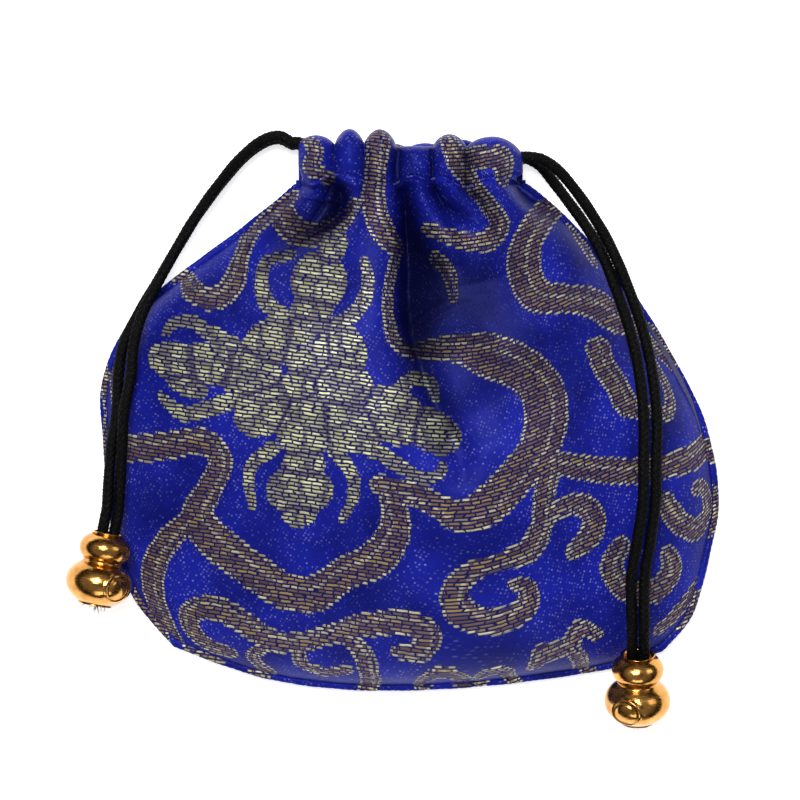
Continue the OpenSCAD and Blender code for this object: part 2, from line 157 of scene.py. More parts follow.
def brocadeMaterial(name):
    material, tree = startMaterial(name)
    weave = addNode(tree, "Attribute", attribute_name="weave").outputs["Vector"]
    fields = []  # each holds a distance, how fast it changes from row to row, and one more value
    for field in ("ribbon", "bloom", "lane"):
        read = addNode(tree, "Attribute", attribute_name=field).outputs["Vector"]
        fields.append(addNode(tree, "SeparateXYZ", {0: read}).outputs)

    # the rows waver a little and the floats start at uneven places along them
    waver = addNode(tree, "TexNoise", {"Vector": weave, "Scale": 0.45, "Detail": 2.0})
    centred = addNode(tree, "VectorMath",
                      {0: waver.outputs["Color"], 1: (0.5, 0.5, 0.5)}, operation="SUBTRACT")
    spread = addNode(tree, "VectorMath", {0: centred, 1: (2.4, 0.5, 0)}, operation="MULTIPLY")
    wavered = addNode(tree, "VectorMath", {0: weave, 1: spread}, operation="ADD")
    floats = addNode(tree, "TexBrick",
                     {"Vector": wavered, "Scale": 1.0, "Color1": (0, 0, 0, 1), "Color2": (1, 1, 1, 1),
                      "Mortar": (0.5, 0.5, 0.5, 1), "Mortar Size": brocade["floatGap"],
                      "Mortar Smooth": 0.7, "Brick Width": brocade["floatLength"],
                      "Row Height": brocade["floatPitch"]},
                     offset=0.42, offset_frequency=2, squash=0.7, squash_frequency=3)
    tint, gap = floats.outputs["Color"], floats.outputs["Fac"]

    # a motif's edge is the same across one row, so it is stepped, and whole floats drop in or out
    across = addNode(tree, "SeparateXYZ", {0: wavered}).outputs["Y"]
    pitch = brocade["floatPitch"]
    rows = addNode(tree, "Math", {0: across, 1: pitch}, operation="DIVIDE")
    within = addNode(tree, "Math", {0: rows}, operation="FRACT")
    offset = addNode(tree, "MapRange", {0: within, 3: pitch / 2, 4: -pitch / 2}, clamp=False)
    jitter = addNode(tree, "MapRange", {0: tint, 3: -0.16, 4: 0.16})
    edges = []
    for distance, slope, _ in fields:
        atRow = addNode(tree, "Math", {0: slope, 1: offset, 2: distance}, operation="MULTIPLY_ADD")
        edges.append(addNode(tree, "Math", {0: atRow, 1: jitter}, operation="ADD"))
    ribbonEdge, bloomEdge, laneEdge = edges
    onRibbon, onBloom = (addNode(tree, "MapRange", {0: edge, 1: 0.06, 2: -0.06})
                         for edge in (ribbonEdge, bloomEdge))
    rimWidth, laneWidth = brocade["rimWidth"], brocade["laneWidth"]
    rim = addNode(tree, "MapRange", {0: ribbonEdge, 1: -rimWidth - 0.04, 2: -rimWidth + 0.04})
    rimGap = addNode(tree, "Math", {0: ribbonEdge, 1: -rimWidth - 0.14, 2: 0.12}, operation="COMPARE")
    laneAway = addNode(tree, "Math", {0: laneEdge}, operation="ABSOLUTE")
    laneLine = addNode(tree, "MapRange", {0: laneAway, 1: laneWidth + 0.05, 2: laneWidth - 0.04, 4: 0.75})
    pale = addNode(tree, "Math", {0: rim, 1: laneLine}, operation="MAXIMUM")

    fill, edge, light = (addNode(tree, "ValToRGB", {0: tint}, stops=list(zip(places, brocade[part])))
                         for part, places in (("fill", (0, 0.6, 1)), ("edge", (0, 1)), ("pale", (0, 1))))
    ribbonColour = addNode(tree, "Mix", {0: pale, 6: fill, 7: edge}, data_type="RGBA")
    veinLine = addNode(tree, "MapRange", {0: fields[1][2], 1: 1.05, 2: 0.5, 4: brocade["veinShare"]})
    cells = addNode(tree, "TexVoronoi",
                    {"Vector": wavered, "Scale": 1 / brocade["cell"], "Randomness": 0.55},
                    feature="DISTANCE_TO_EDGE")
    cellLine = addNode(tree, "MapRange", {0: cells, 1: 0.17, 2: 0.07, 4: brocade["cellShare"]})
    drawn = addNode(tree, "Math", {0: veinLine, 1: cellLine}, operation="MAXIMUM")
    bloomColour = addNode(tree, "Mix", {0: drawn, 6: light, 7: toLinear(brocade["vein"])}, data_type="RGBA")
    motif = addNode(tree, "Mix",
                    {0: onBloom, 6: ribbonColour.outputs[2], 7: bloomColour.outputs[2]}, data_type="RGBA")
    rimShade = addNode(tree, "Math", {0: rimGap, 1: 0.7}, operation="MULTIPLY")
    between = addNode(tree, "Math", {0: gap, 1: rimShade}, operation="MAXIMUM")
    threads = addNode(tree, "Mix",
                      {0: between, 6: motif.outputs[2], 7: toLinear(brocade["gap"])}, data_type="RGBA")
    anyMotif = addNode(tree, "Math", {0: onRibbon, 1: onBloom}, operation="MAXIMUM")

    # satin ground: small bright points in slanting rows where the warp is tied down
    turned = addNode(tree, "Mapping", {"Vector": weave, "Rotation": (0, 0, 0.5)})
    ties = addNode(tree, "TexVoronoi",
                   {"Vector": turned, "Scale": 1 / brocade["tieSpacing"], "Randomness": 0.4})
    tieDistance = addNode(tree, "Math",
                          {0: ties.outputs["Distance"], 1: brocade["tieSpacing"]}, operation="MULTIPLY")
    tieSize = brocade["tieSize"]
    tiePoint = addNode(tree, "MapRange", {0: tieDistance, 1: tieSize * 1.4, 2: tieSize * 0.5})
    tieTone = addNode(tree, "SeparateXYZ", {0: ties.outputs["Color"]}).outputs["X"]
    tieShare = addNode(tree, "MapRange", {0: tieTone, 1: 0.25, 2: 1.0, 4: brocade["tieShare"]})
    patches = addNode(tree, "TexNoise", {"Vector": weave, "Scale": 0.07, "Detail": 3.0})
    tiePatch = addNode(tree, "MapRange", {0: patches, 1: 0.42, 2: 0.6, 3: 0.3, 4: 1.0})
    tieAmount = addNode(tree, "Math", {0: tiePoint, 1: tieShare}, operation="MULTIPLY")
    tieShown = addNode(tree, "Math", {0: tieAmount, 1: tiePatch}, operation="MULTIPLY")
    ground = addNode(tree, "ValToRGB",
                     {0: patches}, stops=[(0.32, brocade["satinDeep"]), (0.64, brocade["satin"])])
    satin = addNode(tree, "Mix", {0: tieShown, 6: ground, 7: toLinear(brocade["fleck"])}, data_type="RGBA")
    colour = addNode(tree, "Mix",
                     {0: anyMotif, 6: satin.outputs[2], 7: threads.outputs[2]}, data_type="RGBA")

    # painted shade: deep in the folds little light gets past the pile of cloth, so the colour itself is
    # darkened there towards the shade colour
    hollow = addNode(tree, "Attribute", attribute_name="hollow").outputs["Fac"]
    shade = addNode(tree, "MapRange", {0: hollow, 4: brocade["shadeShare"]})
    shaded = addNode(tree, "Mix",
                     {0: shade, 6: colour.outputs[2], 7: toLinear(brocade["shade"])}, data_type="RGBA")

    # floats stand up from the ground, each one rounded
    raised = addNode(tree, "Math", {0: 1.0, 1: between}, operation="SUBTRACT")
    floatHeight = addNode(tree, "Math", {0: raised, 1: anyMotif}, operation="MULTIPLY")
    height = addNode(tree, "Math", {0: tiePoint, 1: -0.14, 2: floatHeight}, operation="MULTIPLY_ADD")
    bump = addNode(tree, "Bump",
                   {"Strength": 0.9, "Distance": brocade["reliefHeight"] * mm, "Height": height})
    shine = addNode(tree, "MapRange", {0: anyMotif, 4: 0.22})
    gloss = addNode(tree, "MapRange", {0: anyMotif, 3: 0.44, 4: 0.42})
    shader = addNode(tree, "BsdfPrincipled",
                     {"Base Color": shaded.outputs[2], "Metallic": shine, "Roughness": gloss,
                      "Normal": bump, "IOR": 1.5, "Specular IOR Level": 0.2,
                      "Specular Tint": toLinear("8088ff"), "Sheen Weight": 0.05, "Sheen Roughness": 0.5,
                      "Sheen Tint": toLinear("2a30ff")})
    addNode(tree, "OutputMaterial", {"Surface": shader})
    return material


# plain polyester satin, piece dyed: smooth, with a faint rib
# its threads are 0.1 mm thick and drawn 0.4 mm apart, so that they show
satins = {"lining": ("0c0a44", "141064"), "sewing": ("17156e", "2a28b0"),
          "ribsPerMm": (0.9, 2.6, 0.9), "rise": 0.05}


def satinMaterial(name, tones):
    material, tree = startMaterial(name)
    place = addNode(tree, "TexCoord").outputs["Object"]
    scaled = addNode(tree, "Mapping", {"Vector": place, "Scale": [n / mm for n in satins["ribsPerMm"]]})
    rib = addNode(tree, "TexNoise", {"Vector": scaled, "Scale": 1.0, "Detail": 2.0})
    tone = addNode(tree, "ValToRGB", {0: rib}, stops=[(0.35, tones[0]), (0.7, tones[1])])
    bump = addNode(tree, "Bump",
                   {"Strength": 0.5, "Distance": satins["rise"] * mm, "Height": rib.outputs["Fac"]})
    shader = addNode(tree, "BsdfPrincipled",
                     {"Base Color": tone, "Roughness": 0.45, "Normal": bump, "Sheen Weight": 0.3})
    addNode(tree, "OutputMaterial", {"Surface": shader})
    return material


# braided polyester cord, solution dyed black: dull, with bright pin points where filaments glint
# the fibres are 0.02 mm thick and drawn 0.2 mm apart, so that they show
braidFinish = {"dark": ("000000", "040405"), "glint": "3a3a40",
               "fibresPerMm": 5.2, "glintsPerMm": 2.6, "rise": 0.06}


def cordMaterial(name):
    material, tree = startMaterial(name)
    place = addNode(tree, "TexCoord").outputs["Object"]
    fibre = addNode(tree, "TexNoise",
                    {"Vector": place, "Scale": braidFinish["fibresPerMm"] / mm, "Detail": 3.0})
    glint = addNode(tree, "TexVoronoi", {"Vector": place, "Scale": braidFinish["glintsPerMm"] / mm})
    lit = addNode(tree, "MapRange", {0: glint.outputs["Distance"], 1: 0.2, 2: 0.08})
    dark = addNode(tree, "ValToRGB", {0: fibre}, stops=list(zip((0.3, 0.65), braidFinish["dark"])))
    colour = addNode(tree, "Mix", {0: lit, 6: dark, 7: toLinear(braidFinish["glint"])}, data_type="RGBA")
    gloss = addNode(tree, "MapRange", {0: lit, 3: 0.62, 4: 0.28})
    bump = addNode(tree, "Bump",
                   {"Strength": 0.6, "Distance": braidFinish["rise"] * mm, "Height": fibre.outputs["Fac"]})
    shader = addNode(tree, "BsdfPrincipled",
                     {"Base Color": colour.outputs[2], "Roughness": gloss, "Normal": bump,
                      "Specular IOR Level": 0.08})
    addNode(tree, "OutputMaterial", {"Surface": shader})
    return material


# gold-plated brass, cast, tumbled and plated: mirror bright, with hairline scratches and soft clouds
# the hairlines are 0.01 mm wide and drawn 0.2 mm apart, so that they show
goldPlate = {"tones": ("b07a3c", "cf9850", "e2b46c"), "scratchesPerMm": (0.9, 5.2, 0.9),
             "cloudsPerMm": 0.42, "rise": 0.12}


def goldMaterial(name):
    material, tree = startMaterial(name)
    place = addNode(tree, "TexCoord").outputs["Object"]
    stretched = addNode(tree, "Mapping",
                        {"Vector": place, "Scale": [n / mm for n in goldPlate["scratchesPerMm"]],
                         "Rotation": (0.3, 0.2, 0.9)})
    scratch = addNode(tree, "TexNoise", {"Vector": stretched, "Scale": 1.0, "Detail": 4.0})
    cloud = addNode(tree, "TexNoise",
                    {"Vector": place, "Scale": goldPlate["cloudsPerMm"] / mm, "Detail": 4.0})
    tone = addNode(tree, "ValToRGB", {0: cloud}, stops=list(zip((0.3, 0.6, 0.8), goldPlate["tones"])))
    rough = addNode(tree, "MapRange", {0: scratch, 1: 0.35, 2: 0.8, 3: 0.1, 4: 0.34})
    height = addNode(tree, "Math", {0: scratch, 1: cloud}, operation="ADD")
    bump = addNode(tree, "Bump", {"Strength": 0.16, "Distance": goldPlate["rise"] * mm, "Height": height})
    shader = addNode(tree, "BsdfPrincipled",
                     {"Base Color": tone, "Metallic": 1.0, "Roughness": rough, "Normal": bump})
    addNode(tree, "OutputMaterial", {"Surface": shader})
    return material


brocadeCloth = brocadeMaterial("jacquardBrocade")
liningCloth = satinMaterial("dyedLiningSatin", satins["lining"])
sewingThread = satinMaterial("spunSewingThread", satins["sewing"])
blackCord = cordMaterial("braidedPolyester")
platedGold = goldMaterial("goldPlatedBrass")
print("materials made")

# cords: one closed loop each, drawn out as a pair of tails
cords = {
    "diameter": 2.0, "ringStep": 0.16, "sides": 40, "carriers": 8, "lay": 1.15, "relief": 0.14,
    "leftPivot": (-21.25, 48.0), "rightPivot": (21.25, 45.4), "frontZ": 12.65, "backZ": 2.55,
    "innerEnd": 5.85,
}
beads = {
    "height": 13.0, "upper": 9.4, "lower": 12.0, "travel": 3.0, "spare": 1.5, "offset": 1.05,
    "bore": 4.8, "recess": 6.1, "recessDepth": 3.95, "knotHeight": 0.9, "sealRadius": 2.7,
    "leftFoot": (-56.6, -34.5, 7.0), "leftAxis": (0.19, 0.98, 0.06),
    "rightFoot": (40.6, -55.4, 5.2), "rightAxis": (0, 0.92, 0.39), "sides": 144,
    "leftSeal": (2.3, 3.8), "rightSeal": (1.15, 3.6),  # turn and height of the round seal
}
leftFrontRoute = [(-23.6, 49.2, 12.3), (-26.8, 48.2, 11.2), (-30.6, 45.1, 9.4), (-34.8, 40.1, 7.2),
                  (-38.6, 34.8, 5.8), (-42.2, 28.8, 5.8), (-45.3, 23, 6.8), (-48, 17.5, 8),
                  (-49.5, 12, 9.2), (-50, 6.5, 9.6), (-51.2, 0, 10), (-51.6, -7, 9.2)]
leftBackRoute = [(-23.8, 49, 2.3), (-27, 48, 2), (-30.8, 44.9, 1.8), (-35, 39.9, 1.8),
                 (-38.8, 34.6, 2.2), (-42.3, 28.7, 3.4), (-45.6, 23, 4.8), (-48.8, 17.5, 6),
                 (-51.4, 12, 6.9), (-52.3, 6.5, 7.2), (-52.6, 0, 7.5), (-53.6, -7, 7.9)]
rightFrontRoute = [(23.5, 45, 12.4), (26.2, 43.2, 11.8), (29.2, 39.8, 10.8), (32.4, 35.3, 10),
                   (35.6, 29.8, 9.4), (38.7, 22.6, 9.8), (41.6, 14, 11.2), (43.2, 6, 12.8),
                   (43.9, -2, 13.9), (43.7, -9, 14.4), (43.6, -16, 14.2), (42.7, -23, 13.6),
                   (41.7, -30, 12.6)]
rightBackRoute = [(23.4, 44, 2.8), (25.8, 41, 4.2), (28.3, 37.6, 5.6), (31, 33.8, 6.8),
                  (33.9, 29, 8.1), (36.4, 22.6, 10.2), (39.2, 14, 12.7), (40.8, 6, 14.4),
                  (41.5, -2, 15.4), (41.4, -9, 15.8), (41.3, -16, 15.6), (40.3, -23, 15),
                  (39.3, -30, 13.6)]


def braid(name, line, body, twist=0.0, past=(0, 0)):  # tube whose wall rises in diamonds, as carriers cross
    line = np.array(line, float)
    line[0] += past[0] * unit(line[0] - line[1])  # a rounded end may stand past its own joint
    line[-1] += past[1] * unit(line[-1] - line[-2])
    line, length = evenly(line, cords["ringStep"])
    along = unit(np.gradient(line, axis=0))
    side = np.cross(along[0], (0, 0, 1.0))
    side = side / np.linalg.norm(side) if np.linalg.norm(side) > 0.1 else np.array((0, 1.0, 0))
    sides = [side]
    for t in along[1:]:
        s = sides[-1] - t * np.dot(sides[-1], t)
        sides.append(s / np.linalg.norm(s))
    sides = np.array(sides)
    ups = np.cross(along, sides)
    n, m = len(line), cords["sides"]
    run = np.linspace(0, length, n)[:, None]
    angle = np.arange(m)[None, :] / m * 2 * math.pi + twist
    a = angle * cords["carriers"] / (2 * math.pi) + run / cords["lay"]
    b = angle * cords["carriers"] / (2 * math.pi) - run / cords["lay"]
    rise = np.abs(np.sin(math.pi * a) * np.sin(math.pi * b)) ** 0.7
    radius = cords["diameter"] / 2 * (1 - cords["relief"] + 1.35 * cords["relief"] * rise)
    radius = radius * (1 + 0.02 * np.sin(run * 0.9 + 1.3))
    cap = np.minimum(run, length - run)  # rounded ends
    radius = radius * np.sqrt(np.clip(1 - np.clip(1 - cap / 0.9, 0, 1) ** 2, 0.02, 1))
    points = (line[:, None] + radius[..., None] * (np.cos(angle)[..., None] * sides[:, None]
                                                    + np.sin(angle)[..., None] * ups[:, None]))
    points = np.concatenate([points.reshape(-1, 3), line[:1], line[-1:]])
    faces = gridFaces(n, m, loop=True).tolist()
    faces += [(n * m, (k + 1) % m, k) for k in range(m)]
    faces += [(n * m + 1, (n - 1) * m + k, (n - 1) * m + (k + 1) % m) for k in range(m)]
    return makePiece(name, points, faces, body, blackCord), line, length


def tailLine(start, route, foot, axis, shift):
    axis = unit(axis)
    low = np.array(foot) + shift + beads["knotHeight"] * axis
    high = np.array(foot) + shift + (beads["height"] + beads["travel"] + beads["spare"]) * axis
    bend = spline([start] + list(route) + [high], np.linspace(0, 1, 400))
    return np.concatenate([bend, mix(high, low, np.linspace(0, 1, 60)[1:, None])])


def across(axis):
    return beads["offset"] * unit(np.cross(axis, (0, 0, 1.0)))


tailPlans = [
    ("left", "Front", leftFrontRoute, 1), ("left", "Back", leftBackRoute, -1),
    ("right", "Front", rightFrontRoute, 1), ("right", "Back", rightBackRoute, -1),
]
for hand, face, route, sign in tailPlans:
    name, start = hand + face + "Tail", cords[hand + "Pivot"] + (cords[face.lower() + "Z"],)
    axis = beads[hand + "Axis"]
    line = tailLine(start, route, beads[hand + "Foot"], axis, sign * across(axis))
    piece, line, length = braid(name, line, hand + "_tail", 0.3 * sign, past=(0.9, 0))
    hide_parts(f"{hand}_{face.lower()}_tail")
    print(name, round(length, 1), "mm")

# inside the casing each cord dips below the gathered top edge, and turns back at the far end
inCasing = {"dip": 1.9, "frontZ": 12.4, "backZ": 2.8, "bend": 13.2}
for hand, way in (("left", -1), ("right", 1)):
    x, y = cords[hand + "Pivot"]
    low = y - inCasing["dip"]
    for label, end in (("FrontDraw", "frontZ"), ("BackDraw", "backZ")):
        z, lowZ = cords[end], inCasing[end]
        run = [(way * cords["innerEnd"], low, lowZ), (way * 9, low, lowZ), (way * 12.5, low, lowZ),
               (way * 17, mix(low, y, 0.55), z), (way * 20, y, z), (x, y, z)]
        line = spline(run, np.linspace(0, 1, 80))
        braid(hand + label, line, hand + "_draw", past=(0, 0.9))[0]
    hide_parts(hand + "_draw_strands")
    turn = np.linspace(0, math.pi, 40)
    reach = (inCasing["frontZ"] - inCasing["backZ"]) / 2
    bend = np.stack([-way * (inCasing["bend"] + reach * np.sin(turn)), low + 0 * turn,
                     (inCasing["frontZ"] + inCasing["backZ"]) / 2 + reach * np.cos(turn)], 1)
    ends = [np.array([(way * 5.5, low, z)]) for z in (inCasing["frontZ"], inCasing["backZ"])]
    loop, _, _ = braid(hand + "LoopInCasing", np.concatenate([ends[0], bend, ends[1]]), "sack")
    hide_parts(hand + "_cord_loop")
print("cords made")


# gourd beads with a knot in the foot of each
def gourdRadius(h):
    tall = beads["height"]
    low = beads["lower"] / 2 * np.sqrt(np.clip(1 - ((h - 0.31 * tall) / (0.34 * tall)) ** 2, 0, 1))
    high = beads["upper"] / 2 * np.sqrt(np.clip(1 - ((h - 0.78 * tall) / (0.25 * tall)) ** 2, 0, 1))
    return (low ** 6 + high ** 6) ** (1 / 6)


def standing(points, hand):  # points round an upright axis, moved to where the bead of that hand lies
    d = unit(beads[hand + "Axis"])
    side = unit(np.cross((0, 0, 1.0), d)) if abs(d[2]) < 0.99 else np.array((1.0, 0, 0))
    up = np.cross(d, side)
    p = np.asarray(points)
    return np.array(beads[hand + "Foot"]) + p[..., :1] * side + p[..., 1:2] * up + p[..., 2:] * d


def gourdBead(hand):
    tall, bore, recess = beads["height"], beads["bore"], beads["recess"]
    depth, sides = beads["recessDepth"], beads["sides"]
    h = np.linspace(0.12, tall - 0.1, 110)
    profile = [(recess / 2 + 0.1, 0.0)] + list(zip(gourdRadius(h), h))
    profile += [(bore / 2 + 0.75, tall + 0.12), (bore / 2 + 0.3, tall + 0.15), (bore / 2, tall - 0.1),
                (bore / 2, depth), (recess / 2, depth - 0.02), (recess / 2, 0.1)]
    profile = np.array(profile)
    turns = np.arange(sides) / sides * 2 * math.pi
    r, z = profile[:, None, 0], profile[:, None, 1]
    x, y = r * np.cos(turns), r * np.sin(turns)
    points = np.stack([x, y, z + 0 * turns], -1)
    # plain round seal in low relief on the lower bulb
    sealTurn, sealHeight = beads[hand + "Seal"]
    centreR = gourdRadius(np.array([sealHeight]))[0]
    centre = np.array((centreR * math.cos(sealTurn), centreR * math.sin(sealTurn), sealHeight))
    gap = np.linalg.norm(points - centre, axis=-1)
    seal = beads["sealRadius"]
    lift = 0.26 * np.exp(-((gap - seal) / 0.26) ** 2) - 0.12 * np.exp(-((gap - seal + 0.6) / 0.3) ** 2)
    outer = (np.arange(len(profile)) > 0) & (np.arange(len(profile)) < len(h))
    outwards = (lift / np.maximum(r, 1))[..., None] * np.array((1, 1, 0.4))
    points = points * np.where(outer[:, None, None], 1 + outwards, 1)
    faces = gridFaces(len(profile), sides, loop=True).tolist()
    last = (len(profile) - 1) * sides
    faces += [(last + k, last + (k + 1) % sides, (k + 1) % sides, k) for k in range(sides)]
    points = standing(points.reshape(-1, 3), hand)
    bead = makePiece(hand + "GourdBead", points, faces, hand + "_bead", platedGold)
    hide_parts(hand + "_gourd_bead")
    return bead


def overhandKnot(hand):  # both strands tied in one tight trefoil
    t = np.linspace(0, 2 * math.pi, 240)
    size = 0.62
    line = np.stack([size * (np.sin(t) + 2 * np.sin(2 * t)), size * (np.cos(t) - 2 * np.cos(2 * t)),
                     1.9 - 0.85 * np.sin(3 * t)], 1)
    piece, _, _ = braid(hand + "Knot", standing(line, hand), hand + "_tail")
    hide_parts(hand + "_knot")
    return piece


def thinTubes(lines, radii, spokes):  # short tubes with closed ends, one along each line
    points, faces = [], []
    rings, sides = len(radii), len(spokes)
    for line in lines:
        first = len(points)
        points += [p + r * spoke for p, r in zip(line, radii) for spoke in spokes]
        faces += (gridFaces(rings, sides, loop=True) + first).tolist()
        last = first + rings * sides - 1
        faces += [tuple(first + i for i in range(sides)), tuple(last - i for i in range(sides))]
    return np.array(points), faces


fray = {"count": 14, "sides": 5, "rings": 7, "radius": 0.09, "leftSeed": 5, "rightSeed": 9}


def frayedEnds(hand):  # a few melted filaments that stick out under the knot
    rng = np.random.default_rng(fray[hand + "Seed"])
    lines = []
    for k in range(fray["count"]):
        base = np.append(rng.normal(0, 0.5, 2), 0.5)
        tip = base + np.append(rng.normal(0, 0.8, 2), -rng.uniform(0.9, 2.0))
        middle = mix(base, tip, 0.5) + np.append(rng.normal(0, 0.25, 2), 0)
        lines.append(spline([base, middle, tip], np.linspace(0, 1, fray["rings"])))
    radii = [fray["radius"] * (1 - 0.6 * i / 6) for i in range(fray["rings"])]
    angles = np.arange(fray["sides"]) * 2 * math.pi / fray["sides"]
    points, faces = thinTubes(lines, radii, [np.array((math.cos(w), math.sin(w), 0)) for w in angles])
    piece = makePiece(hand + "FrayedEnds", standing(points, hand), faces, hand + "_tail", blackCord)
    return piece


onCord = {hand: [gourdBead(hand), overhandKnot(hand), frayedEnds(hand)] for hand in ("left", "right")}
print("beads and knots made")

# the sack: outline, heights and folds
sack = {
    "width": 112.0, "height": 101.0, "thick": 22.0, "seamZ": 1.9, "roll": 1.4, "casing": 10.0,
    "neck": 39.0, "neckThick": 15.2, "cloth": 0.35, "mouthGap": 6.0,
    "casingFloor": 13.9, "casingRise": 3.3, "columnRise": 3.0, "topEdge": 47.3, "topRise": 3.3,
}
leftEdge = [(-43, -42.3), (-50.4, -33.4), (-54.2, -21), (-55.6, -7), (-55.8, 5), (-50.2, 16.3),
            (-41.8, 23.6), (-32.6, 30.2), (-24.4, 36.4)]
rightEdge = [(46, -43), (51, -37), (54, -27), (55.8, -16), (53.4, -3), (48, 8),
             (41.2, 19), (33.6, 28), (25.4, 36)]
bottomEdge = [(-43, -42.3), (-28, -47.5), (-14, -49.7), (0, -50), (14, -49.2), (26, -47.8),
              (37, -46), (46, -43)]
casingY = sack["height"] / 2 - sack["casing"]
neckHalf = sack["neck"] / 2


def fitted(p):
    return (p[0] * (sack["width"] / 2 - sack["roll"]) / 56,
            mix(sack["roll"] - sack["height"] / 2, casingY, (p[1] + 50) / 90))


leftSide = [fitted(p) for p in leftEdge] + [(-neckHalf, casingY)]
rightSide = [fitted(p) for p in rightEdge] + [(neckHalf, casingY)]
bottomSide = [fitted(p) for p in bottomEdge]


def flatPlace(u, v):
    l, r, b = spline(leftSide, v), spline(rightSide, v), spline(bottomSide, u)
    bl, br, tl, tr = (np.array(p) for p in (bottomSide[0], bottomSide[-1], leftSide[-1], rightSide[-1]))
    u, v = u[..., None], v[..., None]
    return mix(l, r, u) + mix(b, mix(tl, tr, u), v) - mix(mix(bl, br, u), mix(tl, tr, u), v)


def seamHeight(v):
    return mix(sack["seamZ"], sack["neckThick"] / 2, smooth((v - 0.7) / 0.3))


def frontShape(u, v):  # how far the cloth has risen from the seam, 0 to 1
    foot = (1 - (1 - np.clip(v / 0.5, 0, 1)) ** 2.2) ** 0.75
    edge = np.clip(1 - np.abs(2 * u - 1) ** (2.4 + 4 * smooth((v - 0.7) / 0.3)), 0, 1) ** 0.85
    return foot * edge


def frontHeight(u, v, depth):
    crown = mix(sack["thick"], sack["neckThick"] + 1.2, smooth((v - 0.5) / 0.5))
    return mix(seamHeight(v) + 0.05, crown - depth, frontShape(u, v))


def backHeight(u, v, depth):
    pleat = 1.2 * smooth((v - 0.45) / 0.55) * (1 + np.cos(12 * math.pi * u)) / 2
    curl = 1 - ((1 - np.clip((np.abs(2 * u - 1) - 0.72) / 0.28, 0, 1) ** 2)
                * (1 - np.clip(1 - v / 0.14, 0, 1) ** 2))
    return mix(depth + pleat * smooth((v - 0.6) / 0.2), seamHeight(v) - 0.05, curl)


# each fold: how sharp it is, then down from the neck (x, y, depth, width on the left, width on the right)
folds = [
    (1.3, [(-1.4, 43, 2.5, 1, 1), (-1, 37, 6.4, 1.1, 1.8), (-0.8, 31, 8.6, 1.3, 4.2),
         (-0.6, 26, 9.4, 1.6, 7), (-0.6, 20, 8.8, 1.9, 8), (0, 14, 6.8, 2.4, 7.4), (1.6, 8, 4.6, 3, 6.4),
         (4, 2, 3.6, 3.2, 5.4), (7.6, -4, 2.8, 3, 4.4), (11, -9, 0.3, 2.6, 3)]),
    (1.3, [(-14.5, 43, 2.5, 1.2, 1), (-12.6, 39.4, 6.2, 2.4, 1.2), (-12.4, 36.4, 7.4, 3.6, 1.4),
         (-15, 33.2, 5.4, 3.4, 1.8), (-19.5, 30.6, 2.6, 2.8, 2), (-26, 27, 0, 2.4, 2)]),
    (1.3, [(3.9, 43, 2.5, 1, 1), (4.4, 39.5, 4.4, 1.4, 1.2), (6.4, 36.6, 4.4, 1.8, 1.6),
         (10, 34.6, 2.2, 1.8, 2), (15, 33, 0, 2, 2.2)]),
    (1.6, [(10.2, 43, 1.2, 1, 1), (12.2, 38.4, 2, 1.4, 1.4), (14.8, 34.4, 1.8, 2, 2.2),
         (18.6, 29, 1.2, 3, 3), (23, 23, 0, 3.4, 3.4)]),
    (1.3, [(17.6, 42.6, 2.5, 1, 0.8), (20, 38.8, 4.4, 1.3, 1.2), (24, 36.4, 3.8, 1.6, 1.6),
         (29, 33.6, 2, 2.2, 2), (34, 28, 0, 2.4, 2)]),
    (1.6, [(-19, 42, 0.6, 1, 1), (-23, 38, 1.6, 1.6, 1.6), (-29, 33.6, 1.2, 2, 2), (-36, 27, 0, 2.4, 2.4)]),
    (1.4, [(-5, 2, 0, 2, 1.6), (1, -1.5, 1, 2.4, 1.6), (6, -5.4, 1.5, 3, 2), (9, -9.6, 1, 2.6, 2),
         (9.5, -14, 0, 2, 2)]),
    (1.8, [(-34, 14, 0, 4, 4), (-38, 6, 0.6, 5, 5), (-40, -4, 0.7, 5, 5), (-38, -14, 0, 4, 4)]),
    (1.8, [(20, 16, 0, 5, 4), (26, 8, 1, 6, 5), (30, -4, 1, 6, 5), (32, -16, 0, 5, 4)]),
    (1.8, [(10, 30, 0, 5, 5), (12, 23, 2.4, 8, 9), (14, 15, 3, 8, 9), (19, 5, 2.3, 8, 9),
         (25, -2, 0, 6, 6)]),
    (1.8, [(-14, 40, 2.2, 7, 6), (-21, 33, 2.2, 9, 8), (-27, 25, 1.6, 9, 8), (-31, 15, 0, 7, 6)]),
    (1.8, [(-51, 0, 0.6, 7, 7), (-51, -12, 2.4, 9, 9), (-48, -24, 2.6, 9, 9), (-43, -34, 1, 7, 7)]),
    (1.8, [(30, 34, 1.6, 7, 7), (38, 24, 2.6, 8, 8), (44, 12, 2.4, 8, 8), (46, 0, 0, 6, 6)]),
    (1.8, [(40, -20, 0, 4, 4), (33, -27, 0.7, 5, 5), (30, -34, 0, 4, 4)]),
    (1.5, [(-40.5, -38, 0.6, 1.4, 1.4), (-37, -33, 0.9, 2, 2), (-33, -29, 0, 2.4, 2.4)]),
]


